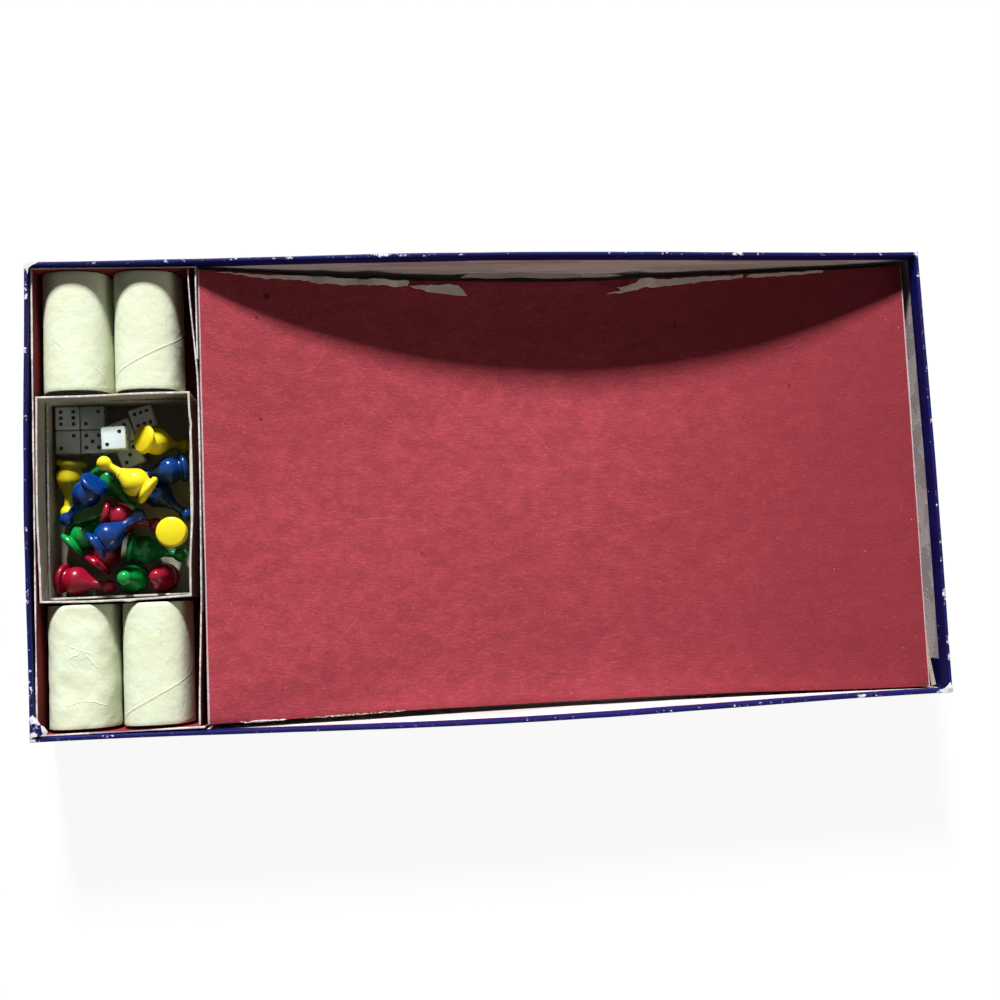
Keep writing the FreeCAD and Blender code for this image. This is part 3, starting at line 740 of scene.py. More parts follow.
@dataclass(frozen=True)
class RedCard:
    """Brick red faced card: fine felted fibres, pale and dark flecks, rubbed lines."""

    name: str
    face: Colour = tone(178, 66, 79)
    deep: Colour = tone(118, 34, 44)
    pale: Colour = tone(204, 124, 128)
    dark: Colour = tone(64, 24, 26)
    marks: Tuple[Tuple[float, float, float], ...] = ()

    def build(self, effects: Effects) -> bpy.types.Material:
        """Makes the material; marks are dark spots given by x, y and size in metres."""
        material, graph, shader = new_finish(self.name)
        place = graph.place()
        felt = graph.group(effects.fibres, Vector=graph.stretch(place, (1.0, 1.0, 1.0), 0.03), Length=2.6, Scale=1500.0)
        fine = graph.group(effects.fibres, Vector=graph.stretch(place, (1.0, 1.0, 1.0), -0.3), Length=1.8, Scale=2600.0)
        broad = graph.group(effects.clouding, Vector=place, Scale=7.0).outputs[0]
        patch = graph.group(effects.clouding, Vector=graph.stretch(place, (0.7, 1.0, 1.0)), Scale=140.0).outputs[0]
        colour = graph.blend(graph.math("MULTIPLY", broad, 0.34), self.face, self.deep)
        colour = graph.blend(graph.math("MULTIPLY", patch, 0.42), colour, self.deep)
        colour = graph.blend(graph.math("MULTIPLY", felt.outputs["Value"], 0.34), colour, self.deep)
        colour = graph.blend(graph.math("MULTIPLY", fine.outputs["Value"], 0.12), colour, self.pale)
        streak = graph.group(effects.fibres, Vector=graph.stretch(place, (1.0, 1.0, 1.0), 0.05), Length=4.5, Scale=1000.0)
        colour = graph.blend(graph.math("MULTIPLY", streak.outputs["Value"], 0.34), colour, self.deep)
        glint = graph.span(streak.outputs["Height"], 0.42, 0.32)
        colour = graph.blend(graph.math("MULTIPLY", glint, 0.13), colour, self.pale)
        # Darker towards the right end of the sheet, over x from 0 to 0.24 m.
        darker_to_right = graph.span(graph.parts(place)[0], 0.0, 0.24, 0.0, 0.62)
        colour = graph.blend(darker_to_right, colour, self.deep)
        pale = graph.group(effects.specks, Vector=place, Scale=230.0, Size=0.10, Share=0.03).outputs[0]
        small = graph.group(effects.specks, Vector=place, Scale=640.0, Size=0.17, Share=0.03).outputs[0]
        colour = graph.blend(graph.math("MULTIPLY", graph.math("MAXIMUM", pale, small), 0.55), colour, self.pale)
        dark = graph.group(effects.specks, Vector=graph.stretch(place, (1.0, 0.6, 1.0)), Scale=110.0, Size=0.07, Share=0.05).outputs[0]
        pores = graph.group(effects.specks, Vector=place, Scale=820.0, Size=0.2, Share=0.06).outputs[0]
        colour = graph.blend(graph.math("MULTIPLY", pores, 0.45), colour, self.deep)
        lines = graph.group(effects.scratches, Vector=graph.stretch(place, (0.5, 1.0, 1.0), 0.5), Scale=16.0, Width=0.0022).outputs[0]
        colour = graph.blend(graph.math("MULTIPLY", lines, 0.22), colour, self.pale)
        x_part, y_part, _ = graph.parts(place)
        for mark_x, mark_y, mark_size in self.marks:
            near = graph.math("SQRT", graph.math("ADD", graph.math("POWER", graph.math("SUBTRACT", x_part, mark_x), 2.0),
                                                 graph.math("POWER", graph.math("SUBTRACT", y_part, mark_y), 2.0)))
            ragged = graph.math("ADD", near, graph.math("MULTIPLY", felt.outputs["Height"], mark_size * 0.8))
            dark = graph.math("MAXIMUM", dark, graph.span(ragged, mark_size * 0.9, mark_size * 1.3, 1.0, 0.0))
        colour = graph.blend(graph.math("MULTIPLY", dark, 0.8), colour, self.dark)
        graph.feed(shader, "Base Color", colour)
        graph.feed(shader, "Roughness", graph.span(felt.outputs["Value"], 0.0, 1.0, 0.75, 0.92))
        shader.inputs["Specular IOR Level"].default_value = 0.15
        height = graph.math("ADD", felt.outputs["Height"], graph.math("MULTIPLY", fine.outputs["Height"], 0.5))
        height = graph.math("ADD", height, graph.math("MULTIPLY", streak.outputs["Height"], -0.9))
        emboss(graph, shader, height, 0.55, 0.0002)
        return material


@dataclass(frozen=True)
class Chipboard:
    """Grey board of waste paper: soft fibres, darker chips and pale rubbed rims."""

    name: str
    face: Colour = tone(142, 140, 128)
    deep: Colour = tone(108, 104, 92)
    pale: Colour = tone(214, 208, 204)
    rim: float = 1.0
    rim_depth: float = 0.0012

    def build(self, effects: Effects) -> bpy.types.Material:
        """Makes the material; its rim is paler."""
        material, graph, shader = new_finish(self.name)
        place = graph.place()
        fibres = graph.group(effects.fibres, Vector=place, Length=2.0, Scale=1100.0)
        broad = graph.group(effects.clouding, Vector=place, Scale=40.0).outputs[0]
        chips = graph.group(effects.specks, Vector=graph.stretch(place, (1.0, 0.5, 1.0)), Scale=420.0, Size=0.22, Share=0.3).outputs[0]
        colour = graph.blend(graph.math("MULTIPLY", fibres.outputs["Value"], 0.5), self.face, self.deep)
        colour = graph.blend(graph.math("MULTIPLY", broad, 0.3), colour, self.deep)
        colour = graph.blend(graph.math("MULTIPLY", chips, 0.35), colour, self.deep)
        wear = graph.group(effects.rim_wear, Vector=place, Edge=self.rim, Depth=self.rim_depth, Amount=0.62, Scale=260.0).outputs[0]
        graph.feed(shader, "Base Color", graph.blend(wear, colour, self.pale))
        graph.feed(shader, "Roughness", graph.span(fibres.outputs["Value"], 0.0, 1.0, 0.8, 0.95))
        shader.inputs["Specular IOR Level"].default_value = 0.2
        emboss(graph, shader, fibres.outputs["Height"], 0.5, 0.0002)
        return material


@dataclass(frozen=True)
class BluePaper:
    """Dark blue covering paper, rubbed white along the rim and torn at its corners."""

    name: str
    face: Colour = tone(10, 14, 86)
    deep: Colour = tone(6, 8, 52)
    bare: Colour = tone(214, 214, 222)
    rim: float = 0.0447
    spots: Tuple[Tuple[float, float, float, float], ...] = ()
    uprights: Tuple[Tuple[float, float], ...] = ((-0.2443, -0.1240), (0.2455, -0.1240), (-0.2443, 0.1238), (0.2443, 0.1238))

    def build(self, effects: Effects) -> bpy.types.Material:
        """Makes the material; spots are worn places: x, y, reach in metres and share."""
        material, graph, shader = new_finish(self.name)
        place = graph.place()
        fibres = graph.group(effects.fibres, Vector=place, Length=3.0, Scale=900.0)
        broad = graph.group(effects.clouding, Vector=place, Scale=25.0).outputs[0]
        colour = graph.blend(graph.math("MULTIPLY", broad, 0.6), self.face, self.deep)
        colour = graph.blend(graph.math("MULTIPLY", fibres.outputs["Value"], 0.3), colour, self.deep)
        more: object = 0.0
        for spot_x, spot_y, reach, share in self.spots:
            near = graph.group(effects.worn_spot, Vector=place, X=spot_x, Y=spot_y, Reach=reach).outputs[0]
            more = graph.math("MAXIMUM", more, graph.math("MULTIPLY", near, share))
        edge = graph.group(effects.rim_wear, Vector=place, Edge=self.rim, Depth=0.0016, Amount=graph.math("ADD", 0.40, more), Scale=260.0).outputs[0]
        wall = graph.group(effects.rim_wear, Vector=graph.stretch(place, (1.0, 1.0, 0.35)), Edge=self.rim, Depth=0.02,
                           Amount=graph.math("ADD", 0.28, more), Scale=240.0).outputs[0]
        chips = graph.group(effects.specks, Vector=graph.stretch(place, (1.0, 1.0, 0.5)), Scale=520.0, Size=0.15, Share=0.025).outputs[0]
        rub = graph.math("MAXIMUM", graph.math("MAXIMUM", edge, wall), graph.math("MULTIPLY", chips, 0.6))
        ragged = graph.noise(graph.stretch(place, (1.0, 1.0, 0.5)), 320.0, 6.0, 0.7)
        for corner_x, corner_y in self.uprights:
            near = graph.group(effects.worn_spot, Vector=place, X=corner_x, Y=corner_y, Reach=0.0022).outputs[0]
            rub = graph.math("MAXIMUM", rub, graph.span(graph.math("ADD", ragged, graph.math("MULTIPLY", near, 0.30)), 0.78, 0.82))
        foot = graph.span(graph.parts(place)[2], 0.0, 0.0014, 1.0, 0.0)
        rub = graph.math("MAXIMUM", rub, graph.span(graph.math("ADD", ragged, graph.math("MULTIPLY", foot, 0.24)), 0.78, 0.82))
        graph.feed(shader, "Base Color", graph.blend(rub, colour, self.bare))
        graph.feed(shader, "Roughness", graph.span(rub, 0.0, 1.0, 0.5, 0.85))
        shader.inputs["Specular IOR Level"].default_value = 0.16
        emboss(graph, shader, graph.math("SUBTRACT", fibres.outputs["Height"], graph.math("MULTIPLY", rub, 0.8)), 0.3, 0.0002)
        return material


@dataclass(frozen=True)
class BareBoard:
    """Bare inner board of the box: pinkish grey, with torn layers and soil."""

    name: str
    face: Colour = tone(212, 203, 203)
    under: Colour = tone(180, 168, 167)
    soil: Colour = tone(138, 122, 120)

    def build(self, effects: Effects) -> bpy.types.Material:
        """Makes the material."""
        material, graph, shader = new_finish(self.name)
        place = graph.place()
        fibres = graph.group(effects.fibres, Vector=place, Length=6.0, Scale=700.0)
        layers = graph.group(effects.torn_layers, Vector=graph.stretch(place, (0.16, 1.0, 1.6)), Scale=55.0)
        broad = graph.group(effects.clouding, Vector=graph.stretch(place, (0.4, 1.0, 1.6)), Scale=30.0).outputs[0]
        colour = graph.blend(graph.math("MULTIPLY", layers.outputs["Step"], 0.75), self.face, self.under)
        colour = graph.blend(graph.math("MULTIPLY", broad, 0.35), colour, self.soil)
        colour = graph.blend(graph.math("MULTIPLY", fibres.outputs["Value"], 0.22), colour, self.soil)
        colour = graph.blend(graph.math("MULTIPLY", layers.outputs["Border"], 0.35), colour, tone(232, 226, 226))
        graph.feed(shader, "Base Color", colour)
        graph.feed(shader, "Roughness", graph.span(fibres.outputs["Value"], 0.0, 1.0, 0.75, 0.9))
        shader.inputs["Specular IOR Level"].default_value = 0.15
        height = graph.math("ADD", fibres.outputs["Height"], graph.math("MULTIPLY", layers.outputs["Step"], 1.6))
        emboss(graph, shader, height, 0.4, 0.0002)
        return material


@dataclass(frozen=True)
class CreamPaper:
    """Cream paper of the shaker cups, with soft soil and small nicks, a wound seam drawn with a painted highlight on
    its ridge and a painted shadow line beside it, and creases drawn with a painted highlight.
    """

    name: str
    centre: Tuple[float, float]
    seam: Tuple[float, ...] = ()
    creases: Tuple[Tuple[float, float, float, float, float], ...] = ()
    face: Colour = tone(216, 227, 205)
    warm: Colour = tone(206, 204, 160)
    # line: colour of the nicks and specks, and of the seam's painted shadow line; lit: colour of the painted highlight
    # on the seam's ridge and on the creases.
    line: Colour = tone(128, 120, 84)
    lit: Colour = tone(232, 236, 220)

    def build(self, effects: Effects) -> bpy.types.Material:
        """Makes the material; a seam is its pitch and its start, a crease two ends and a width."""
        material, graph, shader = new_finish(self.name)
        place = graph.place()
        fibres = graph.group(effects.fibres, Vector=graph.stretch(place, (1.0, 1.0, 1.0), 1.2), Length=3.0, Scale=900.0)
        broad = graph.group(effects.clouding, Vector=place, Scale=60.0).outputs[0]
        blots = graph.group(effects.clouding, Vector=place, Scale=240.0).outputs[0]
        colour = graph.blend(graph.math("MULTIPLY", broad, 0.32), self.face, self.warm)
        colour = graph.blend(graph.math("MULTIPLY", blots, 0.16), colour, self.warm)
        colour = graph.blend(graph.math("MULTIPLY", fibres.outputs["Value"], 0.14), colour, self.warm)
        nicks = graph.group(effects.scratches, Vector=graph.stretch(place, (1.0, 0.5, 1.0), 0.4), Scale=70.0, Width=0.004).outputs[0]
        specks = graph.group(effects.specks, Vector=place, Scale=420.0, Size=0.16, Share=0.04).outputs[0]
        height = graph.math("ADD", graph.math("MULTIPLY", fibres.outputs["Height"], 0.8), graph.math("MULTIPLY", blots, 0.5))
        shade = graph.math("MAXIMUM", graph.math("MULTIPLY", nicks, 0.22), graph.math("MULTIPLY", specks, 0.35))
        glow = None
        for pitch, start in [self.seam] if self.seam else []:
            wound = graph.group(effects.wound_seam, Vector=place, Centre_X=self.centre[0], Centre_Z=self.centre[1], Pitch=pitch, Start=start)
            shade = graph.math("MAXIMUM", shade, graph.math("MULTIPLY", wound.outputs["Line"], 0.55))
            glow = wound.outputs["Ridge"]
            height = graph.math("ADD", height, graph.math("MULTIPLY", glow, 0.55))
        for from_x, from_y, to_x, to_y, width in self.creases:
            fold = graph.group(effects.crease, Vector=place, From_X=from_x * MM, From_Y=from_y * MM, To_X=to_x * MM, To_Y=to_y * MM, Width=width * MM).outputs[0]
            height = graph.math("ADD", height, graph.math("MULTIPLY", fold, 0.95))
            glow = fold if glow is None else graph.math("MAXIMUM", glow, fold)
        # Nicks and specks darken as real marks; the seam's line joins them as a painted shadow beside its ridge.
        colour = graph.blend(shade, colour, self.line)
        # The seam's ridge and the creases are lightened towards the lit colour: a painted highlight.
        if glow is not None:
            colour = graph.blend(graph.math("MULTIPLY", glow, 0.34), colour, self.lit)
        graph.feed(shader, "Base Color", colour)
        graph.feed(shader, "Roughness", graph.span(broad, 0.0, 1.0, 0.55, 0.72))
        shader.inputs["Specular IOR Level"].default_value = 0.25
        emboss(graph, shader, height, 0.5, 0.0003)
        return material


@dataclass(frozen=True)
class GlossPlastic:
    """Glossy moulded plastic with faint flow marks and handling dulling."""

    name: str
    face: Colour
    roughness: float = 0.16

    def build(self, effects: Effects) -> bpy.types.Material:
        """Makes the material."""
        material, graph, shader = new_finish(self.name)
        place = graph.place()
        broad = graph.group(effects.clouding, Vector=place, Scale=120.0).outputs[0]
        lines = graph.group(effects.scratches, Vector=place, Scale=160.0, Width=0.01).outputs[0]
        deep = tuple(part * 0.72 for part in self.face)
        colour = graph.blend(graph.math("MULTIPLY", broad, 0.35), self.face, deep)
        dust = graph.group(effects.specks, Vector=place, Scale=900.0, Size=0.12, Share=0.08).outputs[0]
        colour = graph.blend(graph.math("MULTIPLY", dust, 0.25), colour, tone(230, 226, 220))
        graph.feed(shader, "Base Color", colour)
        rough = graph.span(broad, 0.0, 1.0, self.roughness, self.roughness + 0.12)
        graph.feed(shader, "Roughness", graph.math("ADD", rough, graph.math("MULTIPLY", lines, 0.2)))
        shader.inputs["Specular IOR Level"].default_value = 0.22
        emboss(graph, shader, graph.math("ADD", broad, lines), 0.05, 0.0002)
        return material



@dataclass
class StorageBox:
    """Board tray with bowed walls under a blue paper wrap."""

    effects: Effects
    board: float = 1.6 * MM
    paper: float = 0.25 * MM
    turn_in: float = 9.0 * MM
    turn_under: float = 12.0 * MM
    left_bow: float = 1.6 * MM
    right_bow: float = 0.7 * MM
    back_bow: float = 2.6 * MM
    front_bow: float = 3.6 * MM
    corner_shift: float = 2.2 * MM
    rim_round: float = 0.55 * MM
    low: Vector = field(default_factory=lambda: Vector(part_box("box_wrap")[0]))
    high: Vector = field(default_factory=lambda: Vector(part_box("box_wrap")[1]))

    def cut_up(self, piece: bpy.types.Object) -> None:
        """Gives the walls enough lines to bend."""
        slice_at(piece, Axis.X, steps(self.low.x, self.high.x, 40))
        slice_at(piece, Axis.Y, steps(self.low.y, self.high.y, 22))
        slice_at(piece, Axis.Z, steps(self.low.z, self.high.z, 4))

    def bow_walls(self, piece: bpy.types.Object) -> None:
        """Bows each wall outwards towards its rim and draws one corner out."""
        long_reach, short_reach = self.high.x * 0.95, self.high.y * 0.98
        for place, push, reach in (
                (Vector((self.low.x, 0, 0)), Vector((-self.left_bow, 0, 0)), short_reach),
                (Vector((self.high.x, 0, 0)), Vector((self.right_bow, 0, 0)), short_reach),
                (Vector((0, self.high.y, 0)), Vector((0, self.back_bow, 0)), long_reach),
                (Vector((0, self.low.y, 0)), Vector((0, -self.front_bow, 0)), long_reach)):
            lean_wall(piece, place, push, reach, self.high.z)
        corner = Vector((self.high.x, self.low.y, 0))
        lean_wall(piece, corner, Vector((self.corner_shift, 0, 0)), self.high.y * 2, self.high.z, "LINEAR")

    def build_wrap(self) -> bpy.types.Object:
        """Paper skin: outside, rim, turn-in and turn-under."""
        skin = block("box_wrap_paper", self.low, self.high)
        self.cut_up(skin)
        open_up(skin, Pick.FACE)
        pick(skin, Pick.FACE, lambda at, n: abs(n.z) > 0.9)
        bpy.ops.mesh.delete(type="FACE")
        top, length, width = self.high.z, self.high.x * 2, self.high.y * 2
        rim = 2 * (self.board + 2 * self.paper)
        pick_edges(skin, lambda a, b: a.z > top - TINY and b.z > top - TINY)
        bpy.ops.mesh.extrude_region_move()
        bpy.ops.transform.resize(value=((length - rim) / length, (width - rim) / width, 1.0), center_override=(0, 0, top))
        bpy.ops.mesh.extrude_region_move(TRANSFORM_OT_translate={"value": (0, 0, -self.turn_in)})
        pick_edges(skin, lambda a, b: a.z < TINY and b.z < TINY)
        under = 2 * self.turn_under
        bpy.ops.mesh.extrude_region_move()
        bpy.ops.transform.resize(value=((length - under) / length, (width - under) / width, 1.0), center_override=(0, 0, 0))
        edge_x, edge_y = length / 2, width / 2

        def on_rim(at: Vector) -> bool:
            """On one of the two loops of the rim."""
            return at.z > top - TINY

        def same_loop(a: Vector, b: Vector) -> bool:
            """Both ends on the outer or both on the inner loop."""
            outer_a = abs(abs(a.x) - edge_x) < TINY or abs(abs(a.y) - edge_y) < TINY
            outer_b = abs(abs(b.x) - edge_x) < TINY or abs(abs(b.y) - edge_y) < TINY
            return on_rim(a) and on_rim(b) and outer_a == outer_b

        pick_edges(skin, same_loop)
        bpy.ops.mesh.bevel(offset=self.rim_round, segments=2, affect="EDGES")
        lay_down()
        self.bow_walls(skin)
        ripple(skin, 0.035, 0.5 * MM)
        finish_with(skin, "SOLIDIFY", thickness=self.paper * 0.8, offset=-1.0)
        soft_shade(skin)
        return skin

    def build_board(self) -> bpy.types.Object:
        """Board tray inside the wrap."""
        inset = self.paper * 1.4
        low = self.low + Vector((inset, inset, 0.02 * MM))
        high = self.high - Vector((inset, inset, self.paper * 1.6))
        tray = block("box_board_tray", low, high)
        open_up(tray, Pick.FACE)
        pick(tray, Pick.FACE, lambda at, n: n.z > 0.9)
        bpy.ops.mesh.inset(thickness=self.board - self.paper * 0.2)
        bpy.ops.mesh.extrude_region_move(TRANSFORM_OT_translate={"value": (0, 0, self.board - high.z)})
        lay_down()
        self.cut_up(tray)
        self.bow_walls(tray)
        ripple(tray, 0.035, 0.3 * MM)
        soft_shade(tray)
        return tray

    def build(self) -> None:
        """Builds and dresses the box."""
        spots = ((-0.2450, -0.1250, 0.009, 0.20), (0.2465, -0.1270, 0.012, 0.22), (-0.2455, 0.1255, 0.012, 0.17), (0.2450, 0.1255, 0.007, 0.14),
                 (0.140, 0.1265, 0.006, 0.20), (0.211, 0.1265, 0.004, 0.20), (-0.057, 0.1265, 0.016, 0.10), (-0.107, 0.1265, 0.005, 0.14),
                 (-0.136, 0.1265, 0.004, 0.15), (0.195, -0.1280, 0.014, 0.12), (0.225, -0.1280, 0.004, 0.20), (0.2465, -0.070, 0.006, 0.13),
                 (0.2475, -0.095, 0.004, 0.20), (0.2475, -0.105, 0.005, 0.20), (-0.2465, 0.107, 0.008, 0.16), (-0.2465, 0.077, 0.004, 0.20),
                 (-0.2465, -0.050, 0.006, 0.16), (-0.2465, -0.095, 0.010, 0.10))
        blue = BluePaper("blue_wrap_paper", spots=spots).build(self.effects)
        bare = BareBoard("bare_box_board").build(self.effects)
        dress(self.build_wrap(), blue, "storage_box", ["box_wrap"])
        dress(self.build_board(), bare, "storage_box", ["box_tray"])
        frayed = Chipboard("torn_white_paper", face=tone(226, 224, 228), deep=tone(168, 166, 176), pale=tone(240, 240, 244)).build(self.effects)
        top = self.high.z + 0.12 * MM
        scraps = (
            ("torn_corner_front_left", [(-244.4, -111.4), (-242.8, -110.2), (-241.0, -112.4), (-238.6, -114.6), (-239.6, -115.4), (-241.6, -115.0),
                                        (-243.4, -115.8), (-243.8, -113.6)], [(-239, -114.6, 0.5, 3)], frayed),
            ("torn_corner_front_left_bit", [(-238.6, -115.4), (-236.8, -116.2), (-235.2, -118.8), (-236.0, -120.2), (-237.6, -120.6), (-238.3, -118.0)],
             [(-236, -117, 0.6, 4)], frayed),
            ("torn_corner_back_left", [(-243.8, 123.2), (-241.0, 123.9), (-236.6, 123.4), (-239.8, 122.2), (-241.9, 120.6), (-242.6, 117.2),
                                       (-243.4, 119.8)], [(-237.4, 123.3, 0.5, 4)], frayed),
            ("torn_corner_front_right", [(238.6, -122.4), (241.4, -121.7), (243.4, -120.2), (245.0, -118.4), (246.5, -120.4), (246.6, -123.6),
                                         (244.2, -124.3), (240.6, -123.8)], [(241, -122.5, 0.6, 4), (246, -120, 0.5, 3)], frayed))
        for name, outline, lifts, material in scraps:
            dress(torn_sheet(name, outline, top, lifts), material, "storage_box")
        patch = torn_sheet("corner_patch_front_left", [(-243.3, -114.5), (-239.1, -114.3), (-238.7, -120.8), (-243.1, -121.0)], top + 0.3 * MM, [])
        dress(patch, blue, "storage_box")
        ply = torn_sheet("torn_board_ply_back", [(-14, 120.9), (10, 120.5), (40, 120.4), (66, 120.7), (82, 121.6), (60, 124.4), (20, 124.6), (-6, 124.2)],
                         10.5 * MM, [(-8, 123.8, 2.6, 14), (20, 124.6, 3.4, 20), (55, 124.4, 3.4, 20)], 0.4)
        dress(ply, bare, "storage_box")
        for index in range(1, 5):
            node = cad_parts["corner_stay_%d" % index]
            node.data.materials.clear()
            node.data.materials.append(blue)


@dataclass
class TroughLiner:
    """Folded card that lines the trough: floor, flaps, bowed divider and glue tab."""

    effects: Effects
    card: float = 0.8 * MM
    relief: float = 0.6 * MM
    divider_mid: float = 1.0 * MM
    divider_end: float = -3.0 * MM
    low: Vector = field(default_factory=lambda: Vector(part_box("trough_liner")[0]))
    high: Vector = field(default_factory=lambda: Vector(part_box("trough_liner")[1]))
    tab_step: float = 0.95 * MM

    def flap(self, name: str, low: Sequence[float], high: Sequence[float]) -> bpy.types.Object:
        """One folded flap with softened edges, sliced so that it can take a slight wave."""
        piece = block(name, Vector(low), Vector(high))
        spans = [high[index] - low[index] for index in range(3)]
        axis = Axis.X if spans[0] > spans[1] else Axis.Y
        index = 0 if axis is Axis.X else 1
        slice_at(piece, axis, steps(low[index], high[index], max(4, int(spans[index] / (6 * MM)))))
        slice_at(piece, Axis.Z, steps(low[2], high[2], 5))
        finish_with(piece, "BEVEL", width=0.18 * MM, segments=2, limit_method="ANGLE")
        return piece

    def build(self) -> None:
        """Builds and dresses the liner."""
        low, high, card = self.low, self.high, self.card
        right = high.x - self.tab_step
        floor_top = low.z + card
        gap = card + self.relief
        floor = block("liner_floor", low, Vector((right, high.y, floor_top)))
        slice_at(floor, Axis.Y, steps(low.y, high.y, 20))
        left = self.flap("flap_left", (low.x, low.y + gap, floor_top), (low.x + card, high.y - gap, high.z))
        divider = self.flap("flap_divider", (right - card, low.y + gap, floor_top), (right, high.y - gap, high.z))
        reach = (high.y - low.y) / 2
        press_out(divider, Vector((right, high.y, 0)), Vector((self.divider_end, 0, 0)), reach * 0.55, 6 * MM)
        press_out(divider, Vector((right, low.y, 0)), Vector((self.divider_end * 0.7, 0, 0)), reach * 0.6, 6 * MM)
        press_out(divider, Vector((right, reach * 0.25, 0)), Vector((self.divider_mid, 0, 0)), reach * 0.8, 8 * MM)
        front = self.flap("flap_front", (low.x, low.y, floor_top), (right, low.y + card, high.z))
        back = self.flap("flap_back", (low.x, high.y - card, floor_top), (high.x, high.y, high.z))
        tab = self.flap("flap_tab", (high.x - card, high.y - 50 * MM, floor_top), (high.x, high.y - card * 0.9, high.z))
        for piece, depth in ((left, 0.9), (front, 0.8), (back, 0.5), (tab, 0.4), (divider, 0.5)):
            ripple(piece, 0.03, depth * MM)
        liner = join_up([floor, left, divider, front, back, tab], "trough_liner_card")
        soft_shade(liner)
        # The liner's red card gets darker tones than the platform's: painted shade for the shadow that lies in the
        # trough.
        red_card_painted_shade = RedCard("liner_red_card_painted_shade", face=tone(120, 24, 33), deep=tone(80, 13, 20)).build(self.effects)
        worn = Chipboard("liner_worn_edge", face=tone(186, 182, 184), deep=tone(148, 142, 142), rim=high.z + 0.4 * MM, rim_depth=1.5 * MM).build(self.effects)
        paint(liner, red_card_painted_shade, [(worn, lambda at, n: at.z > high.z - 1.1 * MM and n.z > 0.2),
                                (worn, lambda at, n: at.x > right - 0.2 * MM and n.x > 0.5)])
        dress(liner, red_card_painted_shade, "trough_liner", ["trough_liner"])


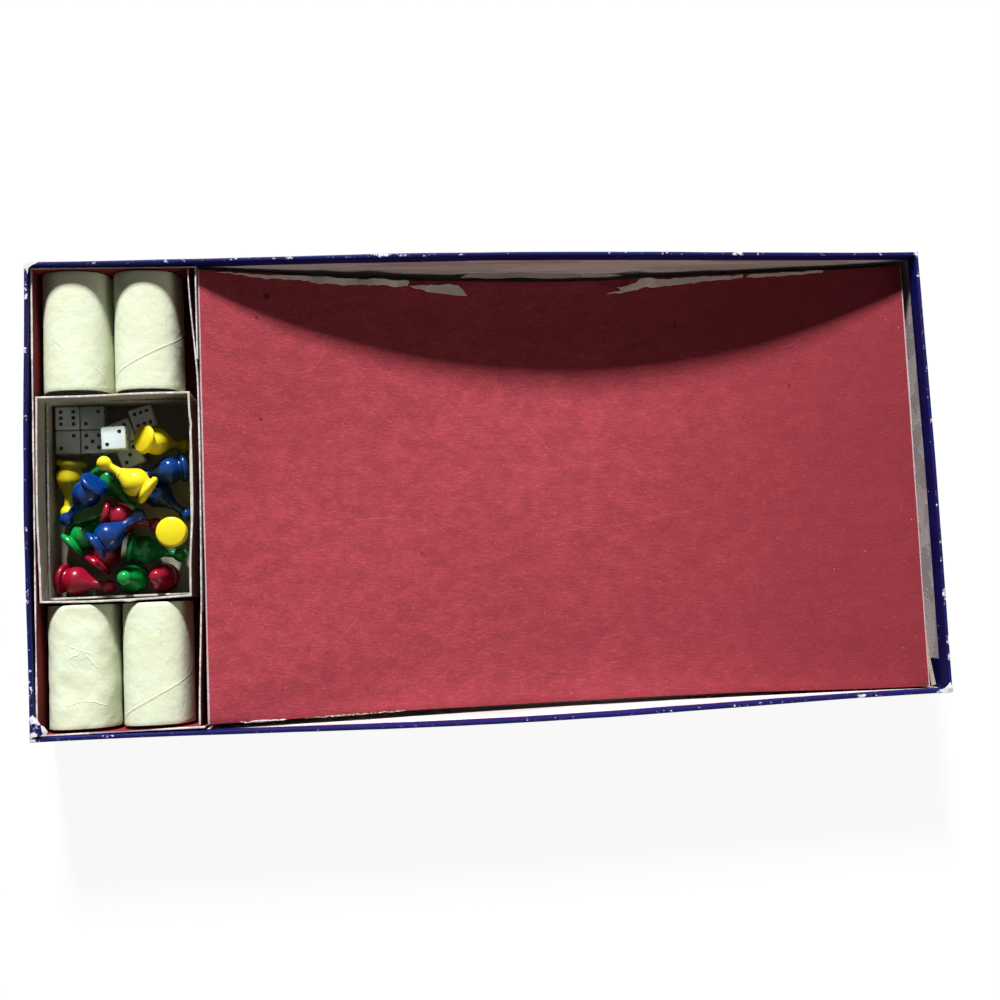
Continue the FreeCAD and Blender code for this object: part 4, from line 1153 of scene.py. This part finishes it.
@dataclass
class Platform:
    """Sagging red sheet on folded legs, with torn plies along its back edge."""

    effects: Effects
    card: float = 1.3 * MM
    sag: float = 25.0 * MM
    right_drop: float = 4.0 * MM
    low: Vector = field(default_factory=lambda: Vector(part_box("platform")[0]))
    high: Vector = field(default_factory=lambda: Vector(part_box("platform")[1]))

    def hub(self) -> Tuple[Vector, float, float]:
        """Middle of the sag's curve, its radius and the angle it spans."""
        left = Vector((self.low.x, 0.0, self.high.z))
        right = Vector((self.high.x, 0.0, self.high.z - self.right_drop))
        span = self.high.x - self.low.x
        radius = (span * span / 4 + self.sag * self.sag) / (2 * self.sag)
        chord = (right - left).length
        lean = Vector((left.z - right.z, 0.0, right.x - left.x)).normalized()
        middle = (left + right) / 2 + lean * math.sqrt(radius * radius - chord * chord / 4)
        return middle, radius, 2 * math.asin(chord / 2 / radius)

    def top_at(self, x_place: float) -> float:
        """Height of the sheet's face at one place along the box."""
        middle, radius, _ = self.hub()
        return middle.z - math.sqrt(max(radius * radius - (x_place - middle.x) ** 2, 0.0))

    def build_sheet(self) -> bpy.types.Object:
        """The sheet: an edge swept round the curve, then folded down at both ends."""
        middle, radius, angle = self.hub()
        lay_down()
        width = self.high.y - self.low.y
        start = (self.low.x - 0.5, 0.0, self.high.z)
        bpy.ops.mesh.primitive_grid_add(x_subdivisions=1, y_subdivisions=64, size=1.0, location=start)
        sheet = bpy.context.object
        sheet.name = "platform_sheet"
        bpy.ops.transform.resize(value=(1.0, width, 1.0), center_override=start)
        fix_place(sheet)
        open_up(sheet, Pick.VERT)
        pick(sheet, Pick.VERT, lambda at, n: at.x < self.low.x - 0.5)
        bpy.ops.mesh.delete(type="VERT")
        bpy.ops.mesh.select_all(action="SELECT")
        bpy.ops.mesh.spin(steps=110, angle=angle, center=middle, axis=(0, 1, 0))
        net = bmesh.from_edit_mesh(sheet.data)
        if max(vert.co.x for vert in net.verts) < self.high.x - 5 * MM:
            log.warning("sheet swept the wrong way")
        foot = self.low.z
        for end, top in ((self.low.x, self.high.z), (self.high.x, self.high.z - self.right_drop)):
            pick_edges(sheet, lambda a, b: abs(a.x - end) < 0.05 * MM and abs(b.x - end) < 0.05 * MM)
            for share in (0.08, 0.5, 1.0):
                goal = top - (top - foot) * share
                net = bmesh.from_edit_mesh(sheet.data)
                level = next(v.co.z for v in net.verts if v.select)
                bpy.ops.mesh.extrude_region_move(TRANSFORM_OT_translate={"value": (0, 0, goal - level)})
        pick(sheet, Pick.FACE, lambda at, n: abs(at.x - 0.04) < 10 * MM)
        net = bmesh.from_edit_mesh(sheet.data)
        down = [face for face in net.faces if face.select and face.normal.z < 0]
        bpy.ops.mesh.select_all(action="SELECT")
        if down:
            bpy.ops.mesh.flip_normals()
        lay_down()
        slice_at(sheet, Axis.X, [self.low.x + 0.8 * MM, self.high.x - 0.6 * MM])
        self.wear_edges(sheet)
        finish_with(sheet, "SOLIDIFY", thickness=self.card, offset=-1.0)
        finish_with(sheet, "BEVEL", width=0.25 * MM, segments=2, limit_method="ANGLE")
        soft_shade(sheet)
        return sheet

    def wear_edges(self, sheet: bpy.types.Object) -> None:
        """Lets the panel wave a little and its long edges follow the bowed walls."""
        ripple(sheet, 0.07, 1.0 * MM)
        front, back = self.low.y, self.high.y
        for x_place, push in ((-0.150, -1.2), (-0.06, -1.3), (0.04, -1.6), (0.15, -1.4), (0.235, -1.8)):
            press_out(sheet, Vector((x_place, front, 0)), Vector((0, push * MM, 0)), 100 * MM, 5 * MM)
        for x_place, push in ((-0.140, 1.6), (-0.05, -0.6), (0.04, -0.8), (0.14, 0.9)):
            press_out(sheet, Vector((x_place, back, 0)), Vector((0, push * MM, 0)), 80 * MM, 5 * MM)

    def ply(self, sheet: bpy.types.Object, name: str, outline: Sequence[Tuple[float, float]],
            lifts: Sequence[Tuple[float, float, float, float]]) -> bpy.types.Object:
        """Thin torn layer that lies on the sheet, from its outline seen from above.

        Args:
            sheet: the platform's sheet.
            name: name of the piece.
            outline: corners in millimetres, in order.
            lifts: spots that curl up: x, y, height and reach in millimetres.

        Returns:
            The piece.
        """
        piece = trace(name, [(x_mm * MM, y_mm * MM, 0.05) for x_mm, y_mm in outline], True)
        xs = [place[0] * MM for place in outline]
        ys = [place[1] * MM for place in outline]
        slice_at(piece, Axis.X, steps(min(xs), max(xs), max(8, int((max(xs) - min(xs)) / (1.2 * MM)))))
        slice_at(piece, Axis.Y, steps(min(ys), max(ys), 8))
        noise = bpy.data.textures.new(name + "_tear", "CLOUDS")
        noise.noise_scale = 0.004
        noise.noise_depth = 4
        finish_with(piece, "DISPLACE", texture=noise, texture_coords="LOCAL", strength=1.6 * MM, mid_level=0.5, direction="Y")
        finish_with(piece, "SHRINKWRAP", target=sheet, wrap_method="NEAREST_SURFACEPOINT", wrap_mode="ABOVE_SURFACE", offset=0.25 * MM)
        for x_mm, y_mm, height, reach in lifts:
            press_out(piece, Vector((x_mm * MM, y_mm * MM, 0)), Vector((0, 0, height * MM)), reach * MM, 2.2 * MM)
        ripple(piece, 0.006, 0.35 * MM, direction="Z")
        face_up(piece)
        finish_with(piece, "SOLIDIFY", thickness=0.5 * MM, offset=1.0)
        soft_shade(piece)
        return piece

    def corner_flap(self) -> bpy.types.Object:
        """Ply that has come away from the right leg near the front corner."""
        edge, top = self.high.x, self.high.z - self.right_drop - 1.2 * MM
        shape = [(0.1, -86, 0.0), (1.1, -96, -0.2), (1.9, -106, 0.2), (2.7, -114, 0.9), (3.3, -120, 1.6), (0.9, -120.6, 1.0), (0.3, -110, 0.3), (0.1, -98, 0.0)]
        flap = trace("torn_flap_corner", [(edge + x_mm * MM, y_mm * MM, top + z_mm * MM) for x_mm, y_mm, z_mm in shape], True)
        slice_at(flap, Axis.Y, steps(-0.1206, -0.086, 14))
        ripple(flap, 0.006, 0.4 * MM)
        face_up(flap)
        finish_with(flap, "SOLIDIFY", thickness=0.35 * MM, offset=-1.0)
        soft_shade(flap)
        return flap

    def build(self) -> None:
        """Builds and dresses the platform and its torn plies."""
        marks = ((-0.1213, 0.1075, 0.0024), (-0.1260, 0.0400, 0.0012), (-0.142, 0.0367, 0.0007), (-0.0415, -0.0348, 0.0008))
        red = RedCard("platform_red_card", marks=marks).build(self.effects)
        tan = Chipboard("card_tan_edge", face=tone(170, 156, 134), deep=tone(130, 116, 96)).build(self.effects)
        worn = Chipboard("card_worn_fold", face=tone(198, 186, 188), deep=tone(168, 90, 98), pale=tone(220, 214, 216)).build(self.effects)
        grey = Chipboard("torn_grey_ply", face=tone(226, 220, 212), deep=tone(190, 180, 172)).build(self.effects)
        sheet = self.build_sheet()
        fold = self.high.z - 0.55 * MM
        paint(sheet, red, [(tan, lambda at, n: abs(n.y) > 0.75),
                           (worn, lambda at, n: at.x < self.low.x + 0.7 * MM and at.z > self.high.z - 2.6 * MM),
                           (worn, lambda at, n: at.x > self.high.x - 0.5 * MM and at.z > fold - 6.5 * MM)])
        plies = [
            ("torn_ply_back_left", [(-143, 119.6), (-118, 117.8), (-96, 117.0), (-74, 116.6), (-52, 115.6), (-40, 115.2), (-39, 118.0), (-41, 119.0), (-90, 119.4)],
             [(-60, 119, 0.8, 12)], grey),
            ("torn_ply_lifted_flap", [(-98, 118.6), (-90, 115.2), (-70, 115.4), (-46, 114.8), (-46, 117.8), (-58, 118.9), (-66, 117.6), (-76, 119.2), (-86, 119.0)],
             [(-88, 116, 2.0, 9), (-60, 118.6, 3.4, 12)], grey),
            ("torn_ply_tongue", [(-39, 115.4), (-30, 112.6), (-19, 111.2), (-7.2, 110.2), (-9.2, 113.6), (-12.2, 116.6), (-16.4, 116.8), (-27, 116.2)],
             [(-8, 111, 2.8, 9), (-36, 115.4, 0.6, 5)], grey),
            ("torn_ply_back_right", [(69.2, 109.8), (76, 110.6), (90, 112.8), (112, 115.4), (132, 116.6), (146, 117.2), (146, 118.8), (120, 118.9), (103, 118.4), (94, 119.0), (88, 117.6), (84, 115.2), (75.6, 114.0), (77.6, 112.0)],
             [(72, 110.5, 2.4, 8), (90, 116.5, 3.6, 9), (130, 117.6, 1.2, 12)], grey),
            ("torn_ply_far_right", [(148, 117.2), (166, 117.4), (191, 117.9), (191, 119.2), (150, 119.0)], [(176, 118.4, 0.6, 10)], grey),
            ("torn_bit_front_left", [(-137, -121.4), (-118, -121.6), (-112, -120.9), (-122, -120.2), (-131, -119.9)], [(-125, -121, 0.8, 6)], grey),
            ("torn_bit_front_mid", [(-103, -122.2), (-78, -122.6), (-50, -122.8), (-54, -121.7), (-84, -121.0)], [(-78, -122, 0.7, 9)], tan),
        ]
        for name, outline, lifts, material in plies:
            dress(self.ply(sheet, name, outline, lifts), material, "platform")
        dress(self.corner_flap(), tan, "platform")
        dress(sheet, red, "platform", ["platform"])


@dataclass
class PawnBox:
    """Two open boxes of grey chipboard, one inside the other."""

    effects: Effects
    chip: float = 1.1 * MM
    left_bulge: float = 2.2 * MM

    def shell(self, name: str, node: str) -> bpy.types.Object:
        """Open box of folded board in the place of a solid."""
        low, high = (Vector(corner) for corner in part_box(node))
        piece = block(name, low, high)
        open_up(piece, Pick.FACE)
        pick(piece, Pick.FACE, lambda at, n: n.z > 0.9)
        bpy.ops.mesh.inset(thickness=self.chip)
        bpy.ops.mesh.extrude_region_move(TRANSFORM_OT_translate={"value": (0, 0, low.z + self.chip - high.z)})
        lay_down()
        slice_at(piece, Axis.X, steps(low.x, high.x, 16))
        slice_at(piece, Axis.Y, steps(low.y, high.y, 24))
        slice_at(piece, Axis.Z, steps(low.z, high.z, 5))
        finish_with(piece, "BEVEL", width=0.22 * MM, segments=2, limit_method="ANGLE")
        return piece

    def build(self) -> None:
        """Builds and dresses both boxes."""
        low, high = (Vector(corner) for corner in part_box("pawn_box_cover"))
        cover = self.shell("pawn_box_outer", "pawn_box_cover")
        for place, push, reach in ((Vector((low.x, -2 * MM, 0)), Vector((-0.5 * MM, 0, 0)), 50 * MM),
                                   (Vector((high.x, 8 * MM, 0)), Vector((0.9 * MM, 0, 0)), 45 * MM),
                                   (Vector((-0.2, low.y, 0)), Vector((0, -0.8 * MM, 0)), 34 * MM),
                                   (Vector((high.x, low.y, 0)), Vector((-1.0 * MM, 0.3 * MM, 0)), 40 * MM),
                                   (Vector((low.x, low.y, 0)), Vector((0.9 * MM, 0, 0)), 40 * MM),
                                   (Vector((low.x + 8 * MM, high.y, 0)), Vector((0, -0.9 * MM, 0)), 40 * MM)):
            lean_wall(cover, place, push, reach, high.z)
        for spot, push in (((-0.1625, 0.036), (0.5, 0.0)), ((-0.2398, -0.032), (-0.3, 0.0)), ((-0.196, -0.0538), (0.0, -0.7))):
            dent(cover, Vector((spot[0], spot[1], high.z)), Vector((push[0] * MM, push[1] * MM, -0.3 * MM)), 4 * MM, 2.2 * MM)
        ripple(cover, 0.02, 0.3 * MM)
        soft_shade(cover)
        board = Chipboard("cover_chipboard", face=tone(176, 174, 162), rim=high.z + 0.3 * MM, rim_depth=1.6 * MM).build(self.effects)
        edge = Chipboard("cover_cut_rim", face=tone(196, 190, 186), deep=tone(160, 152, 146), rim=high.z + 0.5 * MM, rim_depth=1.6 * MM).build(self.effects)
        paint(cover, board, [(edge, lambda at, n: at.z > high.z - 0.7 * MM)])
        dress(cover, board, "pawn_box_cover", ["pawn_box_cover"])
        low, high = (Vector(corner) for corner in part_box("pawn_box_tray"))
        tray = self.shell("pawn_box_inner", "pawn_box_tray")
        ripple(tray, 0.02, 0.2 * MM)
        soft_shade(tray)
        board = Chipboard("tray_chipboard", face=tone(160, 156, 142), deep=tone(118, 112, 98), rim=high.z + 0.3 * MM, rim_depth=1.4 * MM).build(self.effects)
        edge = Chipboard("tray_cut_rim", face=tone(178, 174, 164), deep=tone(140, 134, 122), rim=high.z + 0.5 * MM, rim_depth=1.6 * MM).build(self.effects)
        paint(tray, board, [(edge, lambda at, n: at.z > high.z - 0.5 * MM)])
        dress(tray, board, "pawn_box_tray", ["pawn_box_tray"])


class Wear(Enum):
    """How a cup has aged: plain, seam in view, or dented and wrinkled."""

    PLAIN = 0
    SEAM = 1
    WRINKLED = 2


@dataclass
class ShakerCup:
    """One rolled paper cup that lies on its side, with its end disc."""

    effects: Effects
    name: str
    wear: Wear
    seam: Tuple[float, ...] = ()
    creases: Tuple[Tuple[float, float, float, float, float], ...] = ()
    wall: float = 0.9 * MM
    recess: float = 4.0 * MM

    @staticmethod
    def square_up(piece: bpy.types.Object, centre: Vector) -> None:
        """Fills out the two upper shoulders, as long storage has squared the paper."""
        for side in (-1.0, 1.0):
            open_up(piece, Pick.VERT)
            pick(piece, Pick.VERT, lambda at, n: abs(math.atan2(at.z - centre.z, side * (at.x - centre.x)) - math.radians(48)) < 0.05
                 and math.hypot(at.x - centre.x, at.z - centre.z) > 12 * MM)
            bpy.ops.transform.translate(value=(side * 0.9 * MM, 0, 0.9 * MM), use_proportional_edit=True,
                                        proportional_edit_falloff="SMOOTH", proportional_size=13 * MM)
            lay_down()

    def build(self) -> None:
        """Builds and dresses the tube and its end."""
        low, high = (Vector(corner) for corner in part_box(self.name))
        centre = (low + high) / 2
        radius, length = (high.x - low.x) / 2, high.y - low.y
        lay_down()
        bpy.ops.mesh.primitive_cylinder_add(vertices=96, radius=radius, depth=length, end_fill_type="NOTHING",
                                            location=centre, rotation=(math.radians(90), 0, 0))
        tube = bpy.context.object
        tube.name = self.name + "_paper"
        fix_place(tube)
        slice_at(tube, Axis.Y, steps(low.y, high.y, 26))
        self.square_up(tube, centre)
        deep = 0.35 * MM if self.wear is not Wear.WRINKLED else 0.9 * MM
        ripple(tube, 0.016, deep)
        if self.wear is Wear.WRINKLED:
            ripple(tube, 0.007, 0.45 * MM, kind="VORONOI")
            press_out(tube, Vector((centre.x - 4 * MM, centre.y - 12 * MM, 0)), Vector((0, 0, -0.5 * MM)), 9 * MM, 2 * MM)
        finish_with(tube, "SOLIDIFY", thickness=self.wall, offset=-1.0)
        finish_with(tube, "BEVEL", width=0.25 * MM, segments=2, limit_method="ANGLE", angle_limit=math.radians(60))
        soft_shade(tube, 50.0)
        paper = CreamPaper(self.name + "_cream", (centre.x, centre.z), self.seam, self.creases).build(self.effects)
        dress(tube, paper, self.name, [self.name])
        disc_low, disc_high = (Vector(corner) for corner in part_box(self.name + "_end"))
        middle = (disc_low + disc_high) / 2
        lay_down()
        bpy.ops.mesh.primitive_cylinder_add(vertices=72, radius=(disc_high.x - disc_low.x) / 2 - 0.3 * MM, depth=disc_high.y - disc_low.y,
                                            location=middle, rotation=(math.radians(90), 0, 0))
        disc = bpy.context.object
        disc.name = self.name + "_end_paper"
        fix_place(disc)
        outward = 1.0 if middle.y > 0 else -1.0
        open_up(disc, Pick.FACE)
        pick(disc, Pick.FACE, lambda at, n: n.y * outward > 0.9)
        bpy.ops.mesh.inset(thickness=1.2 * MM)
        bpy.ops.mesh.extrude_region_move(TRANSFORM_OT_translate={"value": (0, -outward * 0.3 * MM, 0)})
        bpy.ops.mesh.inset(thickness=6 * MM)
        bpy.ops.mesh.extrude_region_move(TRANSFORM_OT_translate={"value": (0, outward * 0.15 * MM, 0)})
        lay_down()
        self.square_up(disc, centre)
        soft_shade(disc)
        dress(disc, paper, self.name, [self.name + "_end"])


@dataclass
class Pawns:
    """Sixteen turned pawns: one turning, set down where each solid lies."""

    effects: Effects
    profile: Tuple[Tuple[float, float], ...] = (
        (0.0, 0.0), (6.6, 0.0), (7.5, 0.35), (8.0, 1.2), (8.0, 2.0), (7.5, 2.9), (6.4, 3.25), (5.75, 3.7), (5.65, 4.3),
        (6.2, 5.1), (6.95, 6.4), (7.4, 8.0), (7.5, 9.6), (7.2, 11.2), (6.5, 12.6), (5.4, 14.3), (4.3, 16.0), (3.6, 17.2),
        (3.25, 17.7), (3.35, 18.1), (3.0, 18.5), (2.5, 19.2), (2.15, 21.5), (2.05, 24.0), (2.35, 24.9), (3.1, 25.8),
        (3.6, 27.0), (3.75, 28.1), (3.55, 29.4), (3.0, 30.4), (2.0, 31.2), (0.9, 31.55), (0.0, 31.6))

    def master(self) -> bpy.types.Object:
        """The turning, standing on its foot at the origin."""
        piece = trace("pawn_master", [(reach * MM, 0.0, height * MM) for reach, height in self.profile], False)
        open_up(piece, Pick.VERT)
        bpy.ops.mesh.select_all(action="SELECT")
        bpy.ops.mesh.spin(steps=56, angle=2 * math.pi, center=(0, 0, 0), axis=(0, 0, 1))
        bpy.ops.mesh.select_all(action="SELECT")
        bpy.ops.mesh.remove_doubles(threshold=0.002 * MM)
        bpy.ops.mesh.normals_make_consistent(inside=False)
        lay_down()
        soft_shade(piece, 42.0)
        return piece

    @staticmethod
    def lie_of(node: bpy.types.Object) -> Matrix:
        """Place and turn of a pawn, read from its solid.

        Args:
            node: solid of one pawn.

        Returns:
            The matrix that sets the standing turning down in its place.
        """
        points = [vert.co.copy() for vert in node.data.vertices]
        low_pair, high_pair, far = points[0], points[0], 0.0
        start = max(points, key=lambda at: (at - points[0]).length)
        for at in points:
            if (at - start).length > far:
                low_pair, high_pair, far = start, at, (at - start).length
        axis = high_pair - low_pair
        for _ in range(12):
            centre = sum(points, Vector()) / len(points)
            best = Vector()
            for at in points:
                offset = at - centre
                best += offset * offset.dot(axis)
            axis = best.normalized()
        centre = sum(points, Vector()) / len(points)
        spans = [(at - centre).dot(axis) for at in points]
        low_end, high_end = min(spans), max(spans)

        def girth(goal: float) -> float:
            """Largest reach from the axis near one end."""
            near = [at for at, along in zip(points, spans) if abs(along - goal) < 3.3 * MM]
            return max(((at - centre) - axis * (at - centre).dot(axis)).length for at in near)

        if girth(low_end) < girth(high_end):
            axis, low_end, high_end = -axis, -high_end, -low_end
        foot = centre + axis * low_end
        turn = Vector((0, 0, 1)).rotation_difference(axis)
        return Matrix.Translation(foot) @ turn.to_matrix().to_4x4()

    def build(self) -> None:
        """Sets down and dresses all the pawns."""
        master = self.master()
        for colour in PawnColour:
            word = colour.name.lower()
            plastic = GlossPlastic(word + "_pawn_plastic", tone(*colour.value)).build(self.effects)
            for index in range(1, 5):
                node = "%s_pawn_%d" % (word, index)
                piece = copy_of(master, node + "_turning")
                piece.data.transform(self.lie_of(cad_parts[node]))
                dress(piece, plastic, node, [node])
        bpy.data.objects.remove(master)


@dataclass
class Dice:
    """Eight dice with sunk dark pips, each turned so that its seen face is up."""

    effects: Effects
    top_faces: Tuple[Tuple[str, int, int], ...] = (
        ("die_1", 6, 0), ("die_2", 2, 0), ("die_3", 2, 0), ("die_4", 5, 0), ("die_5", 2, 0), ("die_6", 3, 0), ("die_7", 6, 1), ("die_8", 3, 0))
    edge: float = 0.9 * MM
    pip: float = 1.25 * MM
    pitch: float = 3.3 * MM

    def pip_places(self, count: int) -> List[Tuple[float, float]]:
        """Places of the pips on a face, in units of their pitch."""
        corner = [(-1, -1), (1, 1)]
        other = [(-1, 1), (1, -1)]
        side = [(-1, 0), (1, 0)]
        faces = {1: [(0, 0)], 2: corner, 3: corner + [(0, 0)], 4: corner + other, 5: corner + other + [(0, 0)],
                 6: corner + other + side}
        return faces[count]

    def master(self, size: float) -> bpy.types.Object:
        """One die at the origin with its six up."""
        half = size / 2
        cube = block("die_master", Vector((-half, -half, -half)), Vector((half, half, half)))
        finish_with(cube, "BEVEL", width=self.edge, segments=4, limit_method="ANGLE")
        looks = {6: Matrix.Identity(3), 1: Matrix.Rotation(math.pi, 3, "X"), 2: Matrix.Rotation(math.pi / 2, 3, "X"),
                 5: Matrix.Rotation(-math.pi / 2, 3, "X"), 3: Matrix.Rotation(math.pi / 2, 3, "Y"), 4: Matrix.Rotation(-math.pi / 2, 3, "Y")}
        balls = []
        for count, turn in looks.items():
            for across, along in self.pip_places(count):
                lay_down()
                place = turn @ Vector((across * self.pitch, along * self.pitch, half + self.pip * 0.45))
                bpy.ops.mesh.primitive_uv_sphere_add(segments=14, ring_count=8, radius=self.pip, location=place)
                ball = bpy.context.object
                fix_place(ball)
                balls.append(ball)
        cutter = join_up(balls, "pip_cutter")
        ivory = GlossPlastic("die_ivory", tone(202, 214, 214), 0.3).build(self.effects)
        black = GlossPlastic("die_pip_black", tone(24, 24, 26), 0.4).build(self.effects)
        cube.data.materials.append(ivory)
        cutter.data.materials.append(black)
        finish_with(cube, "BOOLEAN", object=cutter, operation="DIFFERENCE", solver="EXACT", material_mode="TRANSFER")
        bpy.data.objects.remove(cutter)
        soft_shade(cube, 40.0)
        return cube

    def build(self) -> None:
        """Sets down and dresses all the dice."""
        low, high = (Vector(corner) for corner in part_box("die_1"))
        master = self.master(high.z - low.z)
        up = {6: Matrix.Identity(4), 1: Matrix.Rotation(math.pi, 4, "X"), 2: Matrix.Rotation(-math.pi / 2, 4, "X"),
              5: Matrix.Rotation(math.pi / 2, 4, "X"), 3: Matrix.Rotation(-math.pi / 2, 4, "Y"), 4: Matrix.Rotation(math.pi / 2, 4, "Y")}
        for node, face, quarter in self.top_faces:
            low, high = (Vector(corner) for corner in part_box(node))
            points = [vert.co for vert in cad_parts[node].data.vertices if vert.co.z > high.z - 0.05 * MM]
            lead = max(points, key=lambda at: at.x + at.y)
            trail = min(points, key=lambda at: at.x - at.y)
            turn = math.atan2(lead.y - trail.y, lead.x - trail.x)
            piece = copy_of(master, node + "_ivory")
            spin = Matrix.Rotation(turn + quarter * math.pi / 2, 4, "Z")
            piece.data.transform(Matrix.Translation((low + high) / 2) @ spin @ up[face])
            dress(piece, piece.data.materials[0], node, [node])
        bpy.data.objects.remove(master)


@dataclass
class Studio:
    """Pale floor, soft lamps and the camera."""

    lens: float = 43.2
    eye: Tuple[float, float, float] = (-0.07289, -0.05864, 0.68137)
    forward: Tuple[float, float, float] = (0.11328, 0.0771, -0.99057)
    upward: Tuple[float, float, float] = (0.03399, 0.9961, 0.08142)

    def lamp(self, name: str, place: Sequence[float], aim: Sequence[float], size: Tuple[float, float], watts: float,
             tint: Colour = (1.0, 1.0, 1.0)) -> None:
        """One soft rectangular lamp that looks at a point."""
        data = bpy.data.lights.new(name, "AREA")
        data.shape = "RECTANGLE"
        data.size, data.size_y = size
        data.energy = watts
        data.color = tint[:3]
        lamp = bpy.data.objects.new(name, data)
        bpy.context.collection.objects.link(lamp)
        lamp.location = place
        lamp.rotation_mode = "QUATERNION"
        lamp.rotation_quaternion = (Vector(aim) - Vector(place)).to_track_quat("-Z", "Y")

    @staticmethod
    def seen(graph: Graph) -> bpy.types.NodeSocket:
        """One for rays by which the background itself is seen."""
        ray = graph.add("ShaderNodeLightPath")
        mirror = graph.math("MAXIMUM", ray.outputs["Is Glossy Ray"], ray.outputs["Is Transmission Ray"])
        return graph.math("MAXIMUM", ray.outputs["Is Camera Ray"], mirror)

    def build_floor(self) -> None:
        """White ground that keeps the shadow and shows white behind the object."""
        lay_down()
        bpy.ops.mesh.primitive_plane_add(size=6.0, location=(0, 0, -0.0002))
        floor = bpy.context.object
        floor.name = "studio_floor"
        material, graph, shader = new_finish("floor_white")
        place = graph.place()
        tint = graph.blend(graph.math("MULTIPLY", graph.noise(place, 2.0), 0.1), (0.86, 0.86, 0.86), (0.84, 0.84, 0.84))
        graph.feed(shader, "Base Color", tint)
        shader.inputs["Roughness"].default_value = 0.9
        glow = graph.add("ShaderNodeEmission")
        glow.inputs["Strength"].default_value = 1.0
        mixed = graph.add("ShaderNodeMixShader")
        graph.feed(mixed, 0, graph.math("MULTIPLY", self.seen(graph), 0.93))
        graph.tree.links.new(shader.outputs[0], mixed.inputs[1])
        graph.tree.links.new(glow.outputs[0], mixed.inputs[2])
        output = next(node for node in graph.tree.nodes if node.type == "OUTPUT_MATERIAL")
        graph.tree.links.new(mixed.outputs[0], output.inputs["Surface"])
        floor.data.materials.append(material)

    def build(self) -> None:
        """Sets up the stage."""
        self.build_floor()
        scene = bpy.context.scene
        scene.view_settings.view_transform = "Standard"
        world = bpy.data.worlds.new("studio_world")
        scene.world = world
        world.use_nodes = True
        graph = Graph(world.node_tree)
        ground = world.node_tree.nodes["Background"]
        seen = self.seen(graph)
        graph.feed(ground, "Color", graph.blend(seen, (1.0, 0.90, 0.80), (1.0, 1.0, 1.0)))
        graph.feed(ground, "Strength", graph.span(seen, 0.0, 1.0, 0.035, 1.0))
        target = (0.0, 0.0, 0.02)
        self.lamp("key_back", (-0.90, 6.89, 3.44), target, (1.0, 0.9), 1590.0)
        self.lamp("soft_top", (0.1, -0.2, 1.6), target, (1.4, 1.2), 0.25, (1.0, 0.90, 0.80))
        self.lamp("fill_front", (1.2, -1.85, 0.95), target, (1.2, 0.5), 16.0, (1.0, 0.92, 0.80))
        camera_data = bpy.data.cameras.new("photo_camera")
        camera_data.lens = self.lens
        camera_data.sensor_width = 36.0
        camera_data.clip_start = 0.01
        camera = bpy.data.objects.new("photo_camera", camera_data)
        bpy.context.collection.objects.link(camera)
        ahead, up = Vector(self.forward).normalized(), Vector(self.upward).normalized()
        right = ahead.cross(up).normalized()
        up = right.cross(ahead)
        turn = Matrix((right, up, -ahead)).transposed()
        camera.matrix_world = Matrix.Translation(self.eye) @ turn.to_4x4()
        scene.camera = camera


def main() -> None:
    """Builds every piece in order."""
    logging.basicConfig(level=logging.INFO, format="%(name)s %(message)s")
    effects = Effects()
    StorageBox(effects).build()
    TroughLiner(effects).build()
    Platform(effects).build()
    PawnBox(effects).build()
    # Crease tables: from x, from y, to x, to y and width, all in millimetres; each crease is bumped and painted lighter
    # as a painted highlight.
    star = ((-220.3, -78.7, -227.0, -76.0, 0.35), (-220.3, -78.7, -214.3, -80.6, 0.45), (-220.3, -78.7, -221.6, -70.0, 0.3),
            (-219.0, -79.5, -211.5, -88.5, 0.6), (-211.8, -88.0, -208.6, -100.5, 0.6), (-228.0, -107.0, -218.0, -104.2, 0.4),
            (-218.0, -104.2, -208.5, -107.5, 0.4), (-220.3, -78.7, -226.0, -84.0, 0.3))
    small = ((-232.0, 84.0, -226.0, 79.0, 0.3), (-212.0, 70.0, -206.0, 64.0, 0.3))
    front_right_creases = ((-181.0, -69.0, -178.0, -70.5, 0.35), (-180.0, -67.5, -179.0, -72.5, 0.3))
    for name, wear, seam, creases in (("cup_back_left", Wear.PLAIN, (), small), ("cup_back_right", Wear.SEAM, (0.058, 0.0745 + 0.0145 - 0.029), ()),
                                      ("cup_front_left", Wear.WRINKLED, (), star), ("cup_front_right", Wear.SEAM, (0.060, -0.1045 + 0.015 - 0.030), front_right_creases)):
        ShakerCup(effects, name, wear, seam, creases).build()
    Pawns(effects).build()
    Dice(effects).build()
    Studio().build()


if __name__ == "__main__":
    main()
